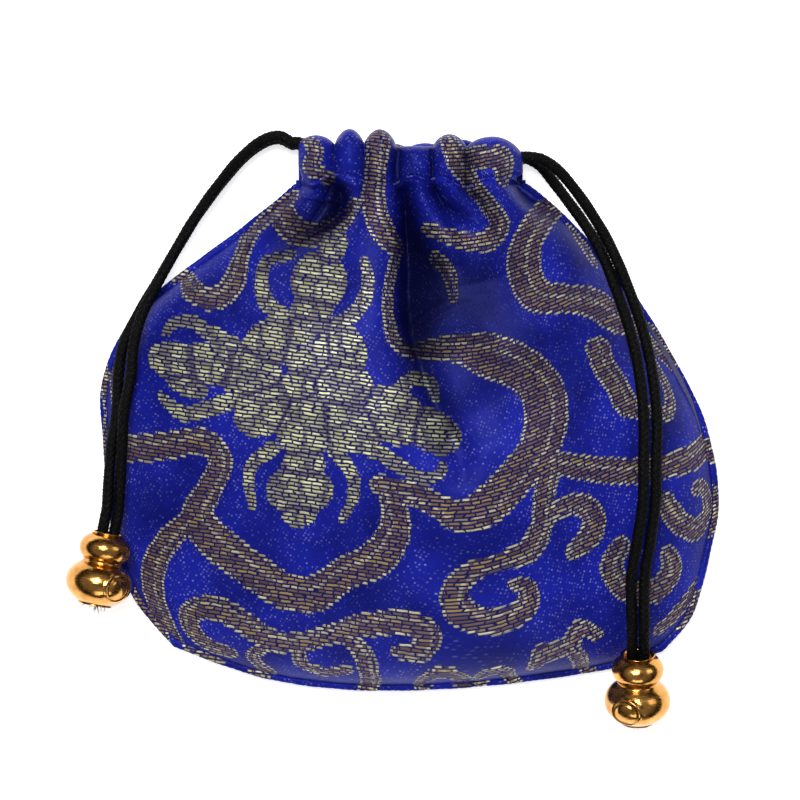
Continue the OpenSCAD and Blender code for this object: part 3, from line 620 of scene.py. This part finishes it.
def foldDepth(x, y):  # how deep the folds press into the cloth at each place
    total = np.zeros(x.shape)
    for sharp, points in folds:
        t = np.linspace(0, 1, 160)
        points = np.array(points)
        line = spline(points[:, :2], t)
        depth, left, right = (np.interp(t, np.linspace(0, 1, len(points)), column) for column in points.T[2:])
        heading = np.gradient(line, axis=0)
        best, pick = np.full(x.shape, 1e9), np.zeros(x.shape, int)
        for i in range(len(t)):
            d = (x - line[i, 0]) ** 2 + (y - line[i, 1]) ** 2
            nearer = d < best
            best = np.where(nearer, d, best)
            pick = np.where(nearer, i, pick)
        gap = np.sqrt(best)
        side = heading[pick, 0] * (y - line[pick, 1]) - heading[pick, 1] * (x - line[pick, 0])
        width = np.where(side < 0, left[pick], right[pick])  # the lines run towards the bottom seam
        total = total + depth[pick] * np.exp(-np.abs(gap / width) ** sharp)
    return total


def ripples(x, y):  # slack in the cloth: long low waves that are never regular
    waves = ((0.31, 0.12, 0.4, 0.16), (-0.18, 0.27, 1.9, 0.14), (0.55, -0.21, 4.2, 0.07),
             (0.12, 0.5, 2.7, 0.08), (0.86, 0.33, 0.9, 0.035), (-0.62, 0.71, 5.1, 0.035))
    return sum(h * np.sin(a * x + b * y + c) for a, b, c, h in waves)


# columns of gathered cloth in the casing: (left, right, how proud, how high its top reaches)
frontGathers = [(-20.4, -13.4, 0.85, 0.62), (-13.6, -8.2, 1.0, 0.94), (-8.4, -2.6, 1.06, 0.92),
                (-1.9, 3.6, 0.66, 0.02), (4.0, 9.8, 0.92, 0.66), (10.2, 20.4, 1.08, 0.6)]
backGathers = [(-20.4, -13.6, 0.8, 0.4), (-13.4, -7.4, 1.0, 0.5), (-7.2, -0.6, 1.0, 0.3),
               (-0.4, 5.6, 0.9, 0.3), (5.8, 12.4, 1.0, 0.5), (12.6, 20.4, 0.9, 0.3)]


def gathers(x, columns):
    proud, high = np.zeros(x.shape), np.zeros(x.shape)
    for left, right, rise, top in columns:
        inside = np.clip((x - left) / (right - left), 0, 1)
        hump = np.sin(math.pi * inside) ** 0.55
        proud = np.maximum(proud, rise * hump)
        high = np.maximum(high, top * np.sin(math.pi * inside) ** 0.6)
    return proud, high


def crownColumns(u, v, front):  # the columns run on from the casing into the sack, and die away
    x = mix(-neckHalf, neckHalf, u)
    proud, _ = gathers(x, frontGathers if front else backGathers)
    fade = smooth((v - 0.62) / 0.38)
    return proud * fade ** 1.5


def hemWave(x):  # the hem does not run straight across
    return 0.8 * np.sin(0.42 * x + 0.6) + 0.45 * np.sin(0.93 * x + 2.0)


def wavyPlace(u, v):
    place = flatPlace(u, v)
    place[..., 1] += hemWave(place[..., 0]) * smooth((v - 0.82) / 0.18) * smooth((1 - np.abs(2 * u - 1)) * 8)
    return place[..., 0], place[..., 1]


def frontPoints(u, v, depth):
    x, y = wavyPlace(u, v)
    shape = frontShape(u, v)
    z = frontHeight(u, v, depth)
    top = smooth((v - 0.62) / 0.38)
    z = z - foldDepth(x, y) * smooth(shape * 1.6) * (1 - 0.65 * smooth((v - 0.94) / 0.06))
    z = z + ripples(x, y) * smooth(shape * 1.3) * (1 - top)
    z = z + sack["columnRise"] * (crownColumns(u, v, True) - 0.45 * top) * smooth(shape * 1.5)
    return np.stack([x, y, np.maximum(z, seamHeight(v) + 0.05)], -1)


def backPoints(u, v, depth):
    x, y = wavyPlace(u, v)
    z = backHeight(u, v, depth)
    proud = crownColumns(u, v, False)
    flatZ = sack["neckThick"] - sack["casingFloor"] + depth - 0.9 * proud
    z = mix(z, np.maximum(flatZ, 0.25 + depth), smooth((v - 0.9) / 0.1))
    return np.stack([x, y, np.minimum(z, seamHeight(v) - 0.05)], -1)


def casingPoints(u, w, front):
    # w: 0 to 1 up the outside, 1 to 1.35 over the top edge, 1.35 to 2 down the inside
    x = mix(-neckHalf, neckHalf, u)
    proud, high = gathers(x, frontGathers if front else backGathers)
    up, over, down = np.clip(w, 0, 1), np.clip((w - 1) / 0.35, 0, 1), np.clip((w - 1.35) / 0.65, 0, 1)
    edge = np.clip(1 - np.abs(2 * u - 1) ** 14, 0, 1) ** 0.5
    closed = (1 - edge) * (1 - smooth(up / 0.16))  # only the very foot is shut at the side seams
    swell = sack["casingRise"] if front else 0.9
    outerZ = mix(sack["casingFloor"] - 0.1, sack["casingFloor"] + swell * proud, edge)
    innerZ = sack["neckThick"] / 2 + sack["mouthGap"] / 2 + 0.1 + 0 * x
    topY = sack["topEdge"] + sack["topRise"] * high
    topY = topY - np.where(x > 0, 2.4, 0.2) * (1 - np.clip(1 - np.abs(2 * u - 1) ** 7, 0, 1) ** 0.6)
    half = (outerZ - innerZ) / 2
    shoulder = topY - half * 0.75
    hemAt = 0.12 + 0.035 * np.sin(0.83 * x + 1.2) * np.cos(0.31 * x)
    pinch = np.exp(-((up - hemAt) / 0.07) ** 2)  # the row of stitches pulls the cloth in
    pillow = 0.6 * np.sin(math.pi * np.clip((up - 0.12) / 0.88, 0, 1)) * proud
    y = mix(casingY, shoulder, up) + half * 0.75 * np.sin(math.pi * over) - (shoulder - casingY - 0.6) * down
    y = y + hemWave(x) * (1 - smooth(up / 0.8)) * smooth((1 - np.abs(2 * u - 1)) * 8)
    dents = 0.32 * np.sin(1.1 * y + 0.9 * x + 1) * np.sin(0.45 * x - 0.7 * y) * np.sin(math.pi * up) * proud
    z = np.where(w <= 1, outerZ + dents - pinch * (0.25 + 0.5 * proud) + pillow,
                 innerZ + half + half * np.cos(math.pi * over))
    z = mix(z, sack["neckThick"] / 2 + 0.1, closed)
    lean = 0.55 * np.sin(0.55 * x + 0.8) * np.sin(math.pi * up)  # no column stands quite straight
    waist = smooth((up - 0.05) / 0.15) * smooth((0.55 - up) / 0.35) * smooth((np.abs(x) - 12) / 7)
    x = (x + lean * edge * (w <= 1) - np.sign(x) * waist * np.where(x > 0, 0.9, 0.3)
         + np.sign(x) * 0.5 * (1 - edge) * smooth(up / 0.5))
    if not front:
        z = np.maximum(sack["neckThick"] - z, 0.05)  # the back lies on the table
    return np.stack([x, y, z], -1)


# the woven pattern: drawn flat in millimetres and carried by the cloth's points
# each stroke: where its inner light line lies, then along it (x, y, half width)
ribbons = [  # cloud scrolls
    (0.3, [(-58, -6, 2.2), (-50, -6.6, 2.6), (-43, -6, 2.6), (-37, -5.2, 2.4), (-33.8, -8.8, 2.2),
         (-36, -14, 2.4), (-38, -18.3, 3), (-35.2, -22.8, 3.4), (-28.8, -27.8, 3.3), (-22.6, -31.8, 3.4),
         (-17, -32.3, 3.4), (-11.8, -28.8, 3), (-6, -26, 3.5), (-2.7, -20.5, 2.9), (-4, -13.5, 1.6)]),
    (-0.3, [(-5.5, -12.8, 1.8), (0, -14.3, 2), (5, -16.8, 2.3), (9.5, -18.6, 3), (14, -16.4, 3.6),
         (18.8, -11.4, 3.4), (22.6, -6.6, 3.6), (24, -1.5, 4), (23.4, 3.6, 4.1), (19.8, 7.6, 4.1),
         (14.4, 9.8, 4.2), (9.5, 11.2, 3), (4.5, 11.3, 2), (0.5, 10.8, 1.5), (-2.6, 12.4, 1.3),
         (-3.9, 16.5, 1.1), (-4, 21, 1), (-3.2, 25.5, 1), (-2, 29, 1)]),
    (0.2, [(24, -8.8, 2), (30, -9.8, 2.3), (37, -10.6, 2.5), (44, -10, 2.2), (50.5, -8.4, 2.5),
         (60, -5, 2.6)]),
    (0.35, [(24.5, -10, 2.1), (23.6, -15.5, 2), (23.2, -20.5, 2), (20.8, -24.6, 2.3), (16.2, -26.6, 1.8),
         (11.2, -28.2, 2), (8, -31.5, 2.5), (8.4, -35, 2.9), (12, -37.2, 2.7), (16.8, -37, 2.3),
         (20.4, -34.8, 2.2), (20.8, -31.6, 1.9), (18.2, -30.6, 1.1)]),
    (-0.3, [(24, -19.5, 1.5), (27, -17, 1.7), (30.5, -16.6, 2.2), (32.6, -19, 2.2), (31.6, -22.4, 2.2),
         (28.8, -25, 1.4)]),
    (0.15, [(26.5, 38, 2.2), (23.4, 34.6, 2.6), (20.8, 30.2, 2.8), (20.2, 25.4, 3.2), (22.4, 20.8, 3.2),
         (27.4, 20.2, 2.6), (32.6, 19.4, 2.8), (37, 16.8, 2.9), (41.5, 15.4, 2.4), (46, 12.5, 2),
         (52, 9, 1.8)]),
    (0.2, [(33.4, 11.2, 2.3), (34.6, 7.8, 2.2), (36.8, 4.6, 2.2), (38.4, 1.4, 2.3), (41.6, 0.2, 1.5)]),
    (0.3, [(44.5, 9, 1.2), (46, 6, 1.3), (46.8, 2.4, 1.4), (45.8, -0.6, 1.2)]),
    (0.2, [(6.5, 49, 1.6), (8.5, 44.5, 2.2), (11, 40.5, 1.5), (13.8, 36.8, 1.5), (15.8, 33.4, 1.9),
         (13.6, 30.4, 2), (8.5, 30.6, 1.6), (3.2, 32.6, 1.3)]),
    (0.4, [(9.6, 45.8, 1.4), (12.6, 45.2, 2.2), (16, 45, 2.3), (16.4, 41, 1)]),
    (0.3, [(-5.4, 53, 2.4), (-5.8, 47, 2.2), (-6.3, 42, 1.9), (-6.6, 37, 2.2), (-5.2, 32.6, 2.3),
         (-2.6, 29, 1.6)]),
    (0.2, [(-19, 49.5, 1.2), (-17, 46.5, 1.5), (-17.6, 43.5, 1.7), (-14.6, 41.6, 1.2)]),
    (0.3, [(-9.6, 37.4, 1), (-12.5, 33.6, 1.7), (-17, 31.6, 2.2), (-21, 32.6, 2.6), (-23.4, 36.4, 2.4)]),
    (-0.3, [(-21.5, 39, 1.6), (-25.2, 36, 1.8), (-28.6, 32.4, 1.7), (-30.4, 27.6, 1.6), (-31.8, 22.8, 2.2),
         (-35.2, 20.2, 2.3), (-39.4, 22, 2.1), (-43, 26.5, 1.6), (-47, 31, 1.4)]),
    (0.2, [(-38.6, -18.8, 1.8), (-43, -22.5, 2.3), (-47, -28, 2.9), (-48, -34, 2.8), (-46.5, -41, 2.3),
         (-45, -48, 2.2)]),
    (0.35, [(-33.6, -44.6, 1.6), (-37.4, -43.8, 2.1), (-40.6, -40.6, 2.3), (-40, -36.6, 2.3),
         (-35.4, -35, 2.3), (-30, -37.6, 2.2), (-25, -40.8, 2.1), (-20, -41.2, 1.8), (-14.5, -39.8, 1.9),
         (-8, -38, 2.3), (-1, -37.6, 2.5), (3, -39.8, 2.5), (1.6, -42.8, 2.2), (-2.4, -42.8, 1.2)]),
    (0.2, [(-25.5, -41.5, 1.3), (-29, -45, 1.4), (-27, -49, 1.6)]),
    (-0.2, [(-19.5, -41.5, 1.2), (-19.6, -45.2, 1.4), (-15.6, -47.4, 1.7), (-11.4, -46.4, 1.2)]),
    (0.3, [(-12, -39.5, 1.5), (-8.6, -43.2, 1.8), (-7.4, -48, 2), (-8, -54, 2)]),
    (0.3, [(1.5, -52, 1.2), (3.5, -48.4, 1.8), (6.4, -47.2, 2), (10, -50, 1.6)]),
    (0.3, [(12.4, -50.5, 1.2), (14.4, -47.2, 1.6), (17.4, -47.6, 1.7), (19.4, -51, 1.4)]),
    (0.2, [(22.4, -46.4, 1.4), (23.6, -43.4, 1.9), (28, -42, 1.7), (30.2, -38.8, 1.7), (33.2, -39.8, 1.3)]),
    (0.3, [(28.4, -42.2, 1.4), (31, -45.2, 1.6), (33, -50, 1.6)]),
    (0.2, [(45.4, -16, 1.9), (48.4, -20, 2.2), (53, -21.4, 2.3), (56, -18, 1.9), (54.4, -14, 1.7),
         (51.4, -14, 1.2)]),
    (0.2, [(37.6, -23.6, 1.6), (35.8, -27.8, 2.2), (38.4, -31.6, 2.3), (43.6, -32.2, 2.2), (47, -28.8, 2.4),
         (46, -25.2, 1.4)]),
    (0.3, [(46, -40, 1.5), (49.6, -37.4, 1.9), (55, -33, 2)]),
    (0.3, [(-57, 9, 1.2), (-55.4, 4, 1.7), (-54.6, -1.5, 1.7), (-56, -7, 1.4)]),
    (0.3, [(29, 33.6, 1), (31.6, 30.2, 1.2), (33.8, 27.4, 1)]),
    (0.4, [(4.4, 27.4, 1.3), (6.8, 24.6, 1.4), (7.6, 20, 0.8)]),
]
petals = [  # the flower: (x, y, half length, half width, turn in degrees)
    (-20, 4.5, 3.6, 3.1, 0), (-18.1, 11.6, 6.4, 5.0, 90), (-24.8, 12.4, 5.6, 4.2, 35),
    (-12, 11.4, 5.4, 3.9, -60), (-28.9, 7.2, 6.2, 4.6, -5), (-26, 0.4, 5.8, 4.5, 30),
    (-11.8, 4.6, 5.6, 4.5, -20), (-10.9, -2.4, 6.2, 4.7, -35), (-18.8, -2.6, 6, 5.2, 90),
    (-16.3, 23.2, 5.4, 5.0, 90), (-14.2, 28.4, 4.4, 2.3, 62), (-17.4, 18.2, 3.8, 3.2, 0),
    (-35.4, 8.4, 7, 3.9, -8), (-41.6, 8.8, 5.6, 3.6, -18), (-40, 5, 4.4, 2.2, -30),
    (-3, -0.6, 6.6, 4.9, -35), (3.8, -3.4, 5.6, 3.8, -30), (-19, -9.4, 3.9, 3.3, 0),
    (-19.7, -13.9, 6, 4.5, 0), (-19.8, -18, 3.2, 2.6, 0),
]
curls = [  # side curls of the flower
    (0, [(-22.4, 16.8, 1.6), (-25.6, 19.4, 1.5), (-26.6, 23.6, 1.2), (-25.4, 27, 1.1), (-21, 28, 0.8)]),
    (0, [(-12.4, 15.6, 1.6), (-9, 18.6, 1.4), (-7.6, 22.8, 1.2), (-8.2, 26.8, 0.8)]),
    (0, [(-31, 11.6, 1.6), (-36, 14.2, 1.4), (-39.6, 16.2, 1.2), (-42.6, 15.6, 1.1), (-43.8, 14, 0.7)]),
    (0, [(-31, 2.2, 1.7), (-36, 0.6, 1.6), (-40, -0.4, 1.4), (-43, 1.2, 1.1), (-44.8, 3, 0.7)]),
    (0, [(-24.6, -6.6, 1.5), (-28, -9.2, 1.2), (-28.8, -12.6, 1.1), (-28.2, -16.8, 0.7)]),
    (0, [(-13.4, -7, 1.5), (-10.4, -11, 1.2), (-10.2, -15.2, 1.1), (-12.2, -19, 0.7)]),
    (0, [(-8.4, -6, 1.6), (-5, -7.6, 1.5), (-1.3, -10, 1.3), (2.4, -11.8, 1.2), (5.5, -10.8, 0.9),
         (5.6, -9.2, 0.7)]),
    (0, [(-2.6, 3, 1.5), (0.4, 6, 1.3), (3.4, 5.2, 1.1), (4.4, 2.4, 0.8)]),
]


def nearestStroke(x, y, strokes):  # distance past the stroke's edge, and how far across it
    edge, lane = np.full(x.shape, 9.0), np.full(x.shape, 3.0)
    for laneSide, points in strokes:
        points = np.array(points)
        steps = max(24, 9 * len(points))
        t = np.linspace(0, 1, steps)
        line = spline(points[:, :2], t)
        width = np.interp(t, np.linspace(0, 1, len(points)), points[:, 2])
        low, high = line.min(0) - 5, line.max(0) + 5
        near = (x > low[0]) & (x < high[0]) & (y > low[1]) & (y < high[1])
        if not near.any():
            continue
        px, py = x[near], y[near]
        heading = unit(np.gradient(line, axis=0))
        best, pick = np.full(px.shape, 1e9), np.zeros(px.shape, int)
        for i in range(steps):
            d = np.hypot(px - line[i, 0], py - line[i, 1]) - width[i]
            nearer = d < best
            best = np.where(nearer, d, best)
            pick = np.where(nearer, i, pick)
        aside = heading[pick, 0] * (py - line[pick, 1]) - heading[pick, 1] * (px - line[pick, 0])
        aside = aside / width[pick] - laneSide
        nearer = best < edge[near]
        edge[near] = np.where(nearer, best, edge[near])
        lane[near] = np.where(nearer, np.clip(aside * width[pick], -3, 3), lane[near])
    return edge, lane


def nearestPetal(x, y):  # the same for the petals, and how close the second nearest one is
    first, second = np.full(x.shape, 9.0), np.full(x.shape, 9.0)
    for cx, cy, a, b, turn in petals:
        w = math.radians(turn)
        px = (x - cx) * math.cos(w) + (y - cy) * math.sin(w)
        py = -(x - cx) * math.sin(w) + (y - cy) * math.cos(w)
        k = np.hypot(px / a, py / b)
        d = np.clip((k - 1) * min(a, b), -9, 9)
        second = np.where(d < first, first, np.minimum(second, d))
        first = np.minimum(first, d)
    return first, np.abs(second - first)


def weavePlace(x, y):  # the weft dips to the right on the left half and climbs on the right half
    left, right = -0.15, 0.44
    t = np.clip((x + 2) / 26, 0, 1)
    climb = left * x + (right - left) * 26 * (t ** 3 - t ** 4 / 2) + (right - left) * np.maximum(x - 24, 0)
    slope = left + (right - left) * smooth(t)
    return x / np.cos(np.arctan(slope)) + slope * y * 0.5, y - climb


def motifFields(x, y):
    ribbon, lane = nearestStroke(x, y, ribbons)
    curl, _ = nearestStroke(x, y, curls)
    petal, vein = nearestPetal(x, y)
    return ribbon, lane, np.minimum(petal, curl), np.where(petal < 0, vein, 3.0)


def weaveAttributes(piece, x, y, hollow=None):
    hollow = 0 * x if hollow is None else hollow
    # the painted shade for the folds is stored per point, zero where none is given
    piece.data.attributes.new("hollow", "FLOAT", "POINT").data.foreach_set("value", hollow.astype(np.float32))
    step = 0.25
    ribbon, lane, bloom, vein = motifFields(x, y)
    ribbonUp, laneUp, bloomUp, _ = motifFields(x, y + step)
    slope = [np.clip((up - here) / step, -1.5, 1.5)
             for up, here in ((ribbonUp, ribbon), (laneUp, lane), (bloomUp, bloom))]
    p, q = weavePlace(x, y)
    for name, fields in (("ribbon", (ribbon, slope[0], 0 * p)), ("lane", (lane, slope[1], 0 * p)),
                         ("bloom", (bloom, slope[2], vein)), ("weave", (p, q, 0 * p))):
        flat = np.stack(fields, 1).astype(np.float32).ravel()
        piece.data.attributes.new(name, "FLOAT_VECTOR", "POINT").data.foreach_set("vector", flat)


def spaced(n, gather):  # 0 to 1, closer together at both ends
    t = np.linspace(0, 1, n)
    return t - gather * np.sin(2 * math.pi * t) / (2 * math.pi)


panels = {"across": 321, "up": 260, "casing": 90}  # rows and columns of points
across1, up1 = spaced(panels["across"], 0.45), np.linspace(0, 1, panels["up"]) ** 1.25
over1 = np.linspace(0, 2, panels["casing"])[1:]


def clothPanel(front):
    v, u = np.meshgrid(up1, across1, indexing="ij")
    points = (frontPoints if front else backPoints)(u, v, 0.0)
    drop = np.maximum(sack["thick"] * 0.62 - points[..., 2], 0) if front else 0 * points[..., 2]
    w, u = np.meshgrid(over1, across1, indexing="ij")
    casing = casingPoints(u, w, front)
    points = np.concatenate([points, casing])
    for _ in range(6):  # one smooth line over the hem, where the sack runs into the casing
        band = points[panels["up"] - 9:panels["up"] + 8]
        band[1:-1, :, 2] = 0.25 * band[:-2, :, 2] + 0.5 * band[1:-1, :, 2] + 0.25 * band[2:, :, 2]
    return points, np.concatenate([drop, 0 * casing[..., 2]])


def thickCloth(name, points, front, material, thickness):  # a sheet with its thickness on the inner side
    rows, cols = points.shape[:2]
    piece = makePiece(name, points.reshape(-1, 3), gridFaces(rows, cols, flip=not front), "sack", material)
    thicken = piece.modifiers.new("clothThickness", "SOLIDIFY")
    thicken.thickness, thicken.offset = thickness * mm, -1
    return piece


def brocadeSheet(side, front):
    points, drop = clothPanel(front)
    rows, count = len(points), panels["up"]
    piece = thickCloth(side + "Brocade", points, front, brocadeCloth, sack["cloth"])
    x, y = points[..., 0].copy(), points[..., 1].copy()
    # down the steep sides the pattern runs on outwards, as the cloth does
    away = np.stack([x, y + 6], -1)
    away = away / np.maximum(np.linalg.norm(away, axis=-1, keepdims=True), 1e-6)
    upper = (np.arange(rows) < count)[:, None]
    shift = np.where(upper, np.maximum(drop - 6.5, 0) * 0.8 * smooth((34 - y) / 12), 0)
    x, y = x + away[..., 0] * shift, y + away[..., 1] * shift
    # over the casing's top edge and down inside it runs on upwards
    rim = count + int(np.searchsorted(over1, 1.0))
    past = np.linalg.norm(np.diff(points[rim:], axis=0), axis=-1).cumsum(0)
    y[rim + 1:] = y[rim] + past
    # painted shade: the colour is darkened where the folds press deep and in the valleys between the gathered
    # columns at the crown and on the casing; the back panel gets none
    hollow = np.zeros(x.shape)
    if front:
        u, v = across1[None, :] + 0 * x[:count], up1[:, None] + 0 * x[:count]
        pressed = smooth(foldDepth(x[:count], y[:count]) / 6.0) * smooth(frontShape(u, v) * 1.6)
        between = (1 - crownColumns(u, v, True)) ** 2 * smooth((v - 0.74) / 0.26) ** 1.5
        hollow[:count] = np.maximum(pressed * (1 - 0.5 * smooth((v - 0.94) / 0.06)), 0.8 * between)
        proud, _ = gathers(mix(-neckHalf, neckHalf, across1), frontGathers)
        hollow[count:] = 0.8 * (1 - np.clip(proud, 0, 1)[None, :]) ** 2
    else:
        x, y = -x + 7, y - 9  # the same cloth, cut from another place along the roll
    weaveAttributes(piece, x.ravel(), y.ravel(), hollow.ravel())
    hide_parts(side + "_panel", side + "_casing")


brocadeSheet("front", True)
brocadeSheet("back", False)
print("brocade made")

# lining: one plain sheet inside each panel
lining = {"below": 1.3, "across": 110, "up": 90, "inset": 0.06, "cloth": 0.2}
for side, front in (("front", True), ("back", False)):
    v, u = np.meshgrid(np.linspace(0, 1, lining["up"]), np.linspace(0, 1, lining["across"]), indexing="ij")
    u, v = mix(lining["inset"], 1 - lining["inset"], u), mix(lining["inset"] + 0.02, 1.0, v)
    points = (frontPoints if front else backPoints)(u, v, lining["below"])
    piece = thickCloth(side + "Lining", points, front, liningCloth, lining["cloth"])
    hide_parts(side + "_lining")
print("lining made")


# seams and stitches
def around(t):  # down the left side, along the bottom and up the right side
    u = np.where(t < 0.36, 0, np.where(t < 0.64, (t - 0.36) / 0.28, 1))
    v = np.where(t < 0.36, 1 - t / 0.36, np.where(t < 0.64, 0, (t - 0.64) / 0.36))
    return u, v


rollPlan = {"pucker": 0.12, "stitch": 2.4, "flatness": 0.6, "runOn": 1.2, "tuck": 0.9}
rings, sides = 700, 12
t = np.linspace(0, 1, rings)
u, v = around(t)
place = flatPlace(u, v)
place[[0, -1], 1] += rollPlan["tuck"]  # both ends run up under the casing
heading = unit(np.gradient(place, axis=0))
outward = np.stack([heading[:, 1], -heading[:, 0]], 1)
for _ in range(30):
    outward[1:-1] = 0.25 * outward[:-2] + 0.5 * outward[1:-1] + 0.25 * outward[2:]
outward = unit(outward)
centre = np.column_stack([place + outward * (sack["roll"] / 2 - 0.35), seamHeight(v)])
run = np.concatenate([[0], np.cumsum(np.linalg.norm(np.diff(centre, axis=0), axis=1))])
radius = sack["roll"] / 2 * (1 - rollPlan["pucker"] * np.cos(2 * math.pi * run / rollPlan["stitch"]) ** 8
                             + 0.05 * np.sin(run * 0.7))
turn = (np.arange(sides) / sides * 2 * math.pi)[None, :, None]
sideways, upwards = np.column_stack([outward, 0 * v]), np.array((0, 0, rollPlan["flatness"]))
points = (centre[:, None] + radius[:, None, None]
          * (np.cos(turn) * sideways[:, None] + np.sin(turn) * upwards)).reshape(-1, 3)
faces = gridFaces(rings, sides, loop=True, flip=True).tolist()
faces += [tuple(range(sides)), tuple(rings * sides - 1 - k for k in range(sides))]
seamRoll = makePiece("seamRoll", points, faces, "sack", brocadeCloth)
flatPoints = points + np.repeat(sideways * rollPlan["runOn"], sides, 0)  # the pattern runs on outwards
weaveAttributes(seamRoll, flatPoints[:, 0], flatPoints[:, 1])
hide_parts("perimeter_seam")


# running stitches that hold the casing's hem
hem = {"stitches": 17, "rings": 7, "radius": 0.16, "up": 0.11, "inset": 1.2}
for name, node, front in (("frontHemStitches", "front_hem_stitching", True),
                          ("backHemStitches", "back_hem_stitching", False)):
    lines = []
    for k in range(hem["stitches"]):
        xs = mix(-neckHalf + hem["inset"], neckHalf - hem["inset"],
                 (k + np.linspace(0.12, 0.62, hem["rings"])) / hem["stitches"])
        line = casingPoints((xs + neckHalf) / sack["neck"], np.full(hem["rings"], hem["up"]), front)
        lift = 0.1 * np.sin(math.pi * np.linspace(0, 1, hem["rings"])) - 0.02
        line[:, 2] += lift if front else -lift
        lines.append(line)
    spokes = [np.array((0, math.cos(w), math.sin(w))) for w in np.arange(6) * math.pi / 3]
    points, faces = thinTubes(lines, [hem["radius"]] * hem["rings"], spokes)
    piece = makePiece(name, points, faces, "sack", sewingThread)
    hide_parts(node)

for node, material in (("seam_allowance", liningCloth), ("perimeter_stitching", sewingThread)):
    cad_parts[node].data.materials.clear()
    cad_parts[node].data.materials.append(material)
print("seams made")

# floor and light: a matt white board that glows a little, so that it stays white all round
studio = {
    "floor": "fcfcfc", "floorGlow": 0.68, "sky": 0.3,
    "skyStops": [(0.0, "6a625a"), (0.35, "57504a"), (0.6, "e4e4e6"), (0.9, "ffffff"), (0.975, "6e6a66")],
    "softboxes": [  # name, place in metres, size in metres, power in watts
        ("keySoftbox", (-0.12, 0.3, 0.93), (0.45, 0.35), 9.5),
        ("fillSoftbox", (0.75, 0.3, 0.6), (0.4, 0.4), 0.9),
        ("frontSoftbox", (0.0, -0.8, 0.5), (0.6, 0.3), 1.5),
    ],
}
bpy.ops.mesh.primitive_plane_add(size=6, location=(0, 0, -0.0002))
floor = bpy.context.object
floor.name = "paleFloor"
floorMaterial, tree = startMaterial("litWhiteBoard")
shader = addNode(tree, "BsdfPrincipled",
                 {"Base Color": toLinear(studio["floor"]), "Roughness": 0.8,
                  "Emission Color": (1, 1, 1, 1), "Emission Strength": studio["floorGlow"]})
addNode(tree, "OutputMaterial", {"Surface": shader})
floor.data.materials.append(floorMaterial)

for name, place, size, power in studio["softboxes"]:
    data = bpy.data.lights.new(name, "AREA")
    data.shape, data.size, data.size_y, data.energy = "RECTANGLE", size[0], size[1], power
    light = bpy.data.objects.new(name, data)
    light.location = place
    light.rotation_euler = (Vector() - Vector(place)).to_track_quat("-Z", "Y").to_euler()  # at the middle
    bpy.context.scene.collection.objects.link(light)

world = bpy.data.worlds.new("studioSky")
bpy.context.scene.world = world
world.use_nodes = True
tree = world.node_tree
tree.nodes.clear()
ray = addNode(tree, "TexCoord").outputs["Generated"]
heightOf = addNode(tree, "SeparateXYZ", {0: ray}).outputs["Z"]
skyTone = addNode(tree, "ValToRGB", {0: heightOf}, stops=studio["skyStops"])
sky = addNode(tree, "Background", {"Color": skyTone, "Strength": studio["sky"]})
addNode(tree, "OutputWorld", {"Surface": sky})
print("studio made")
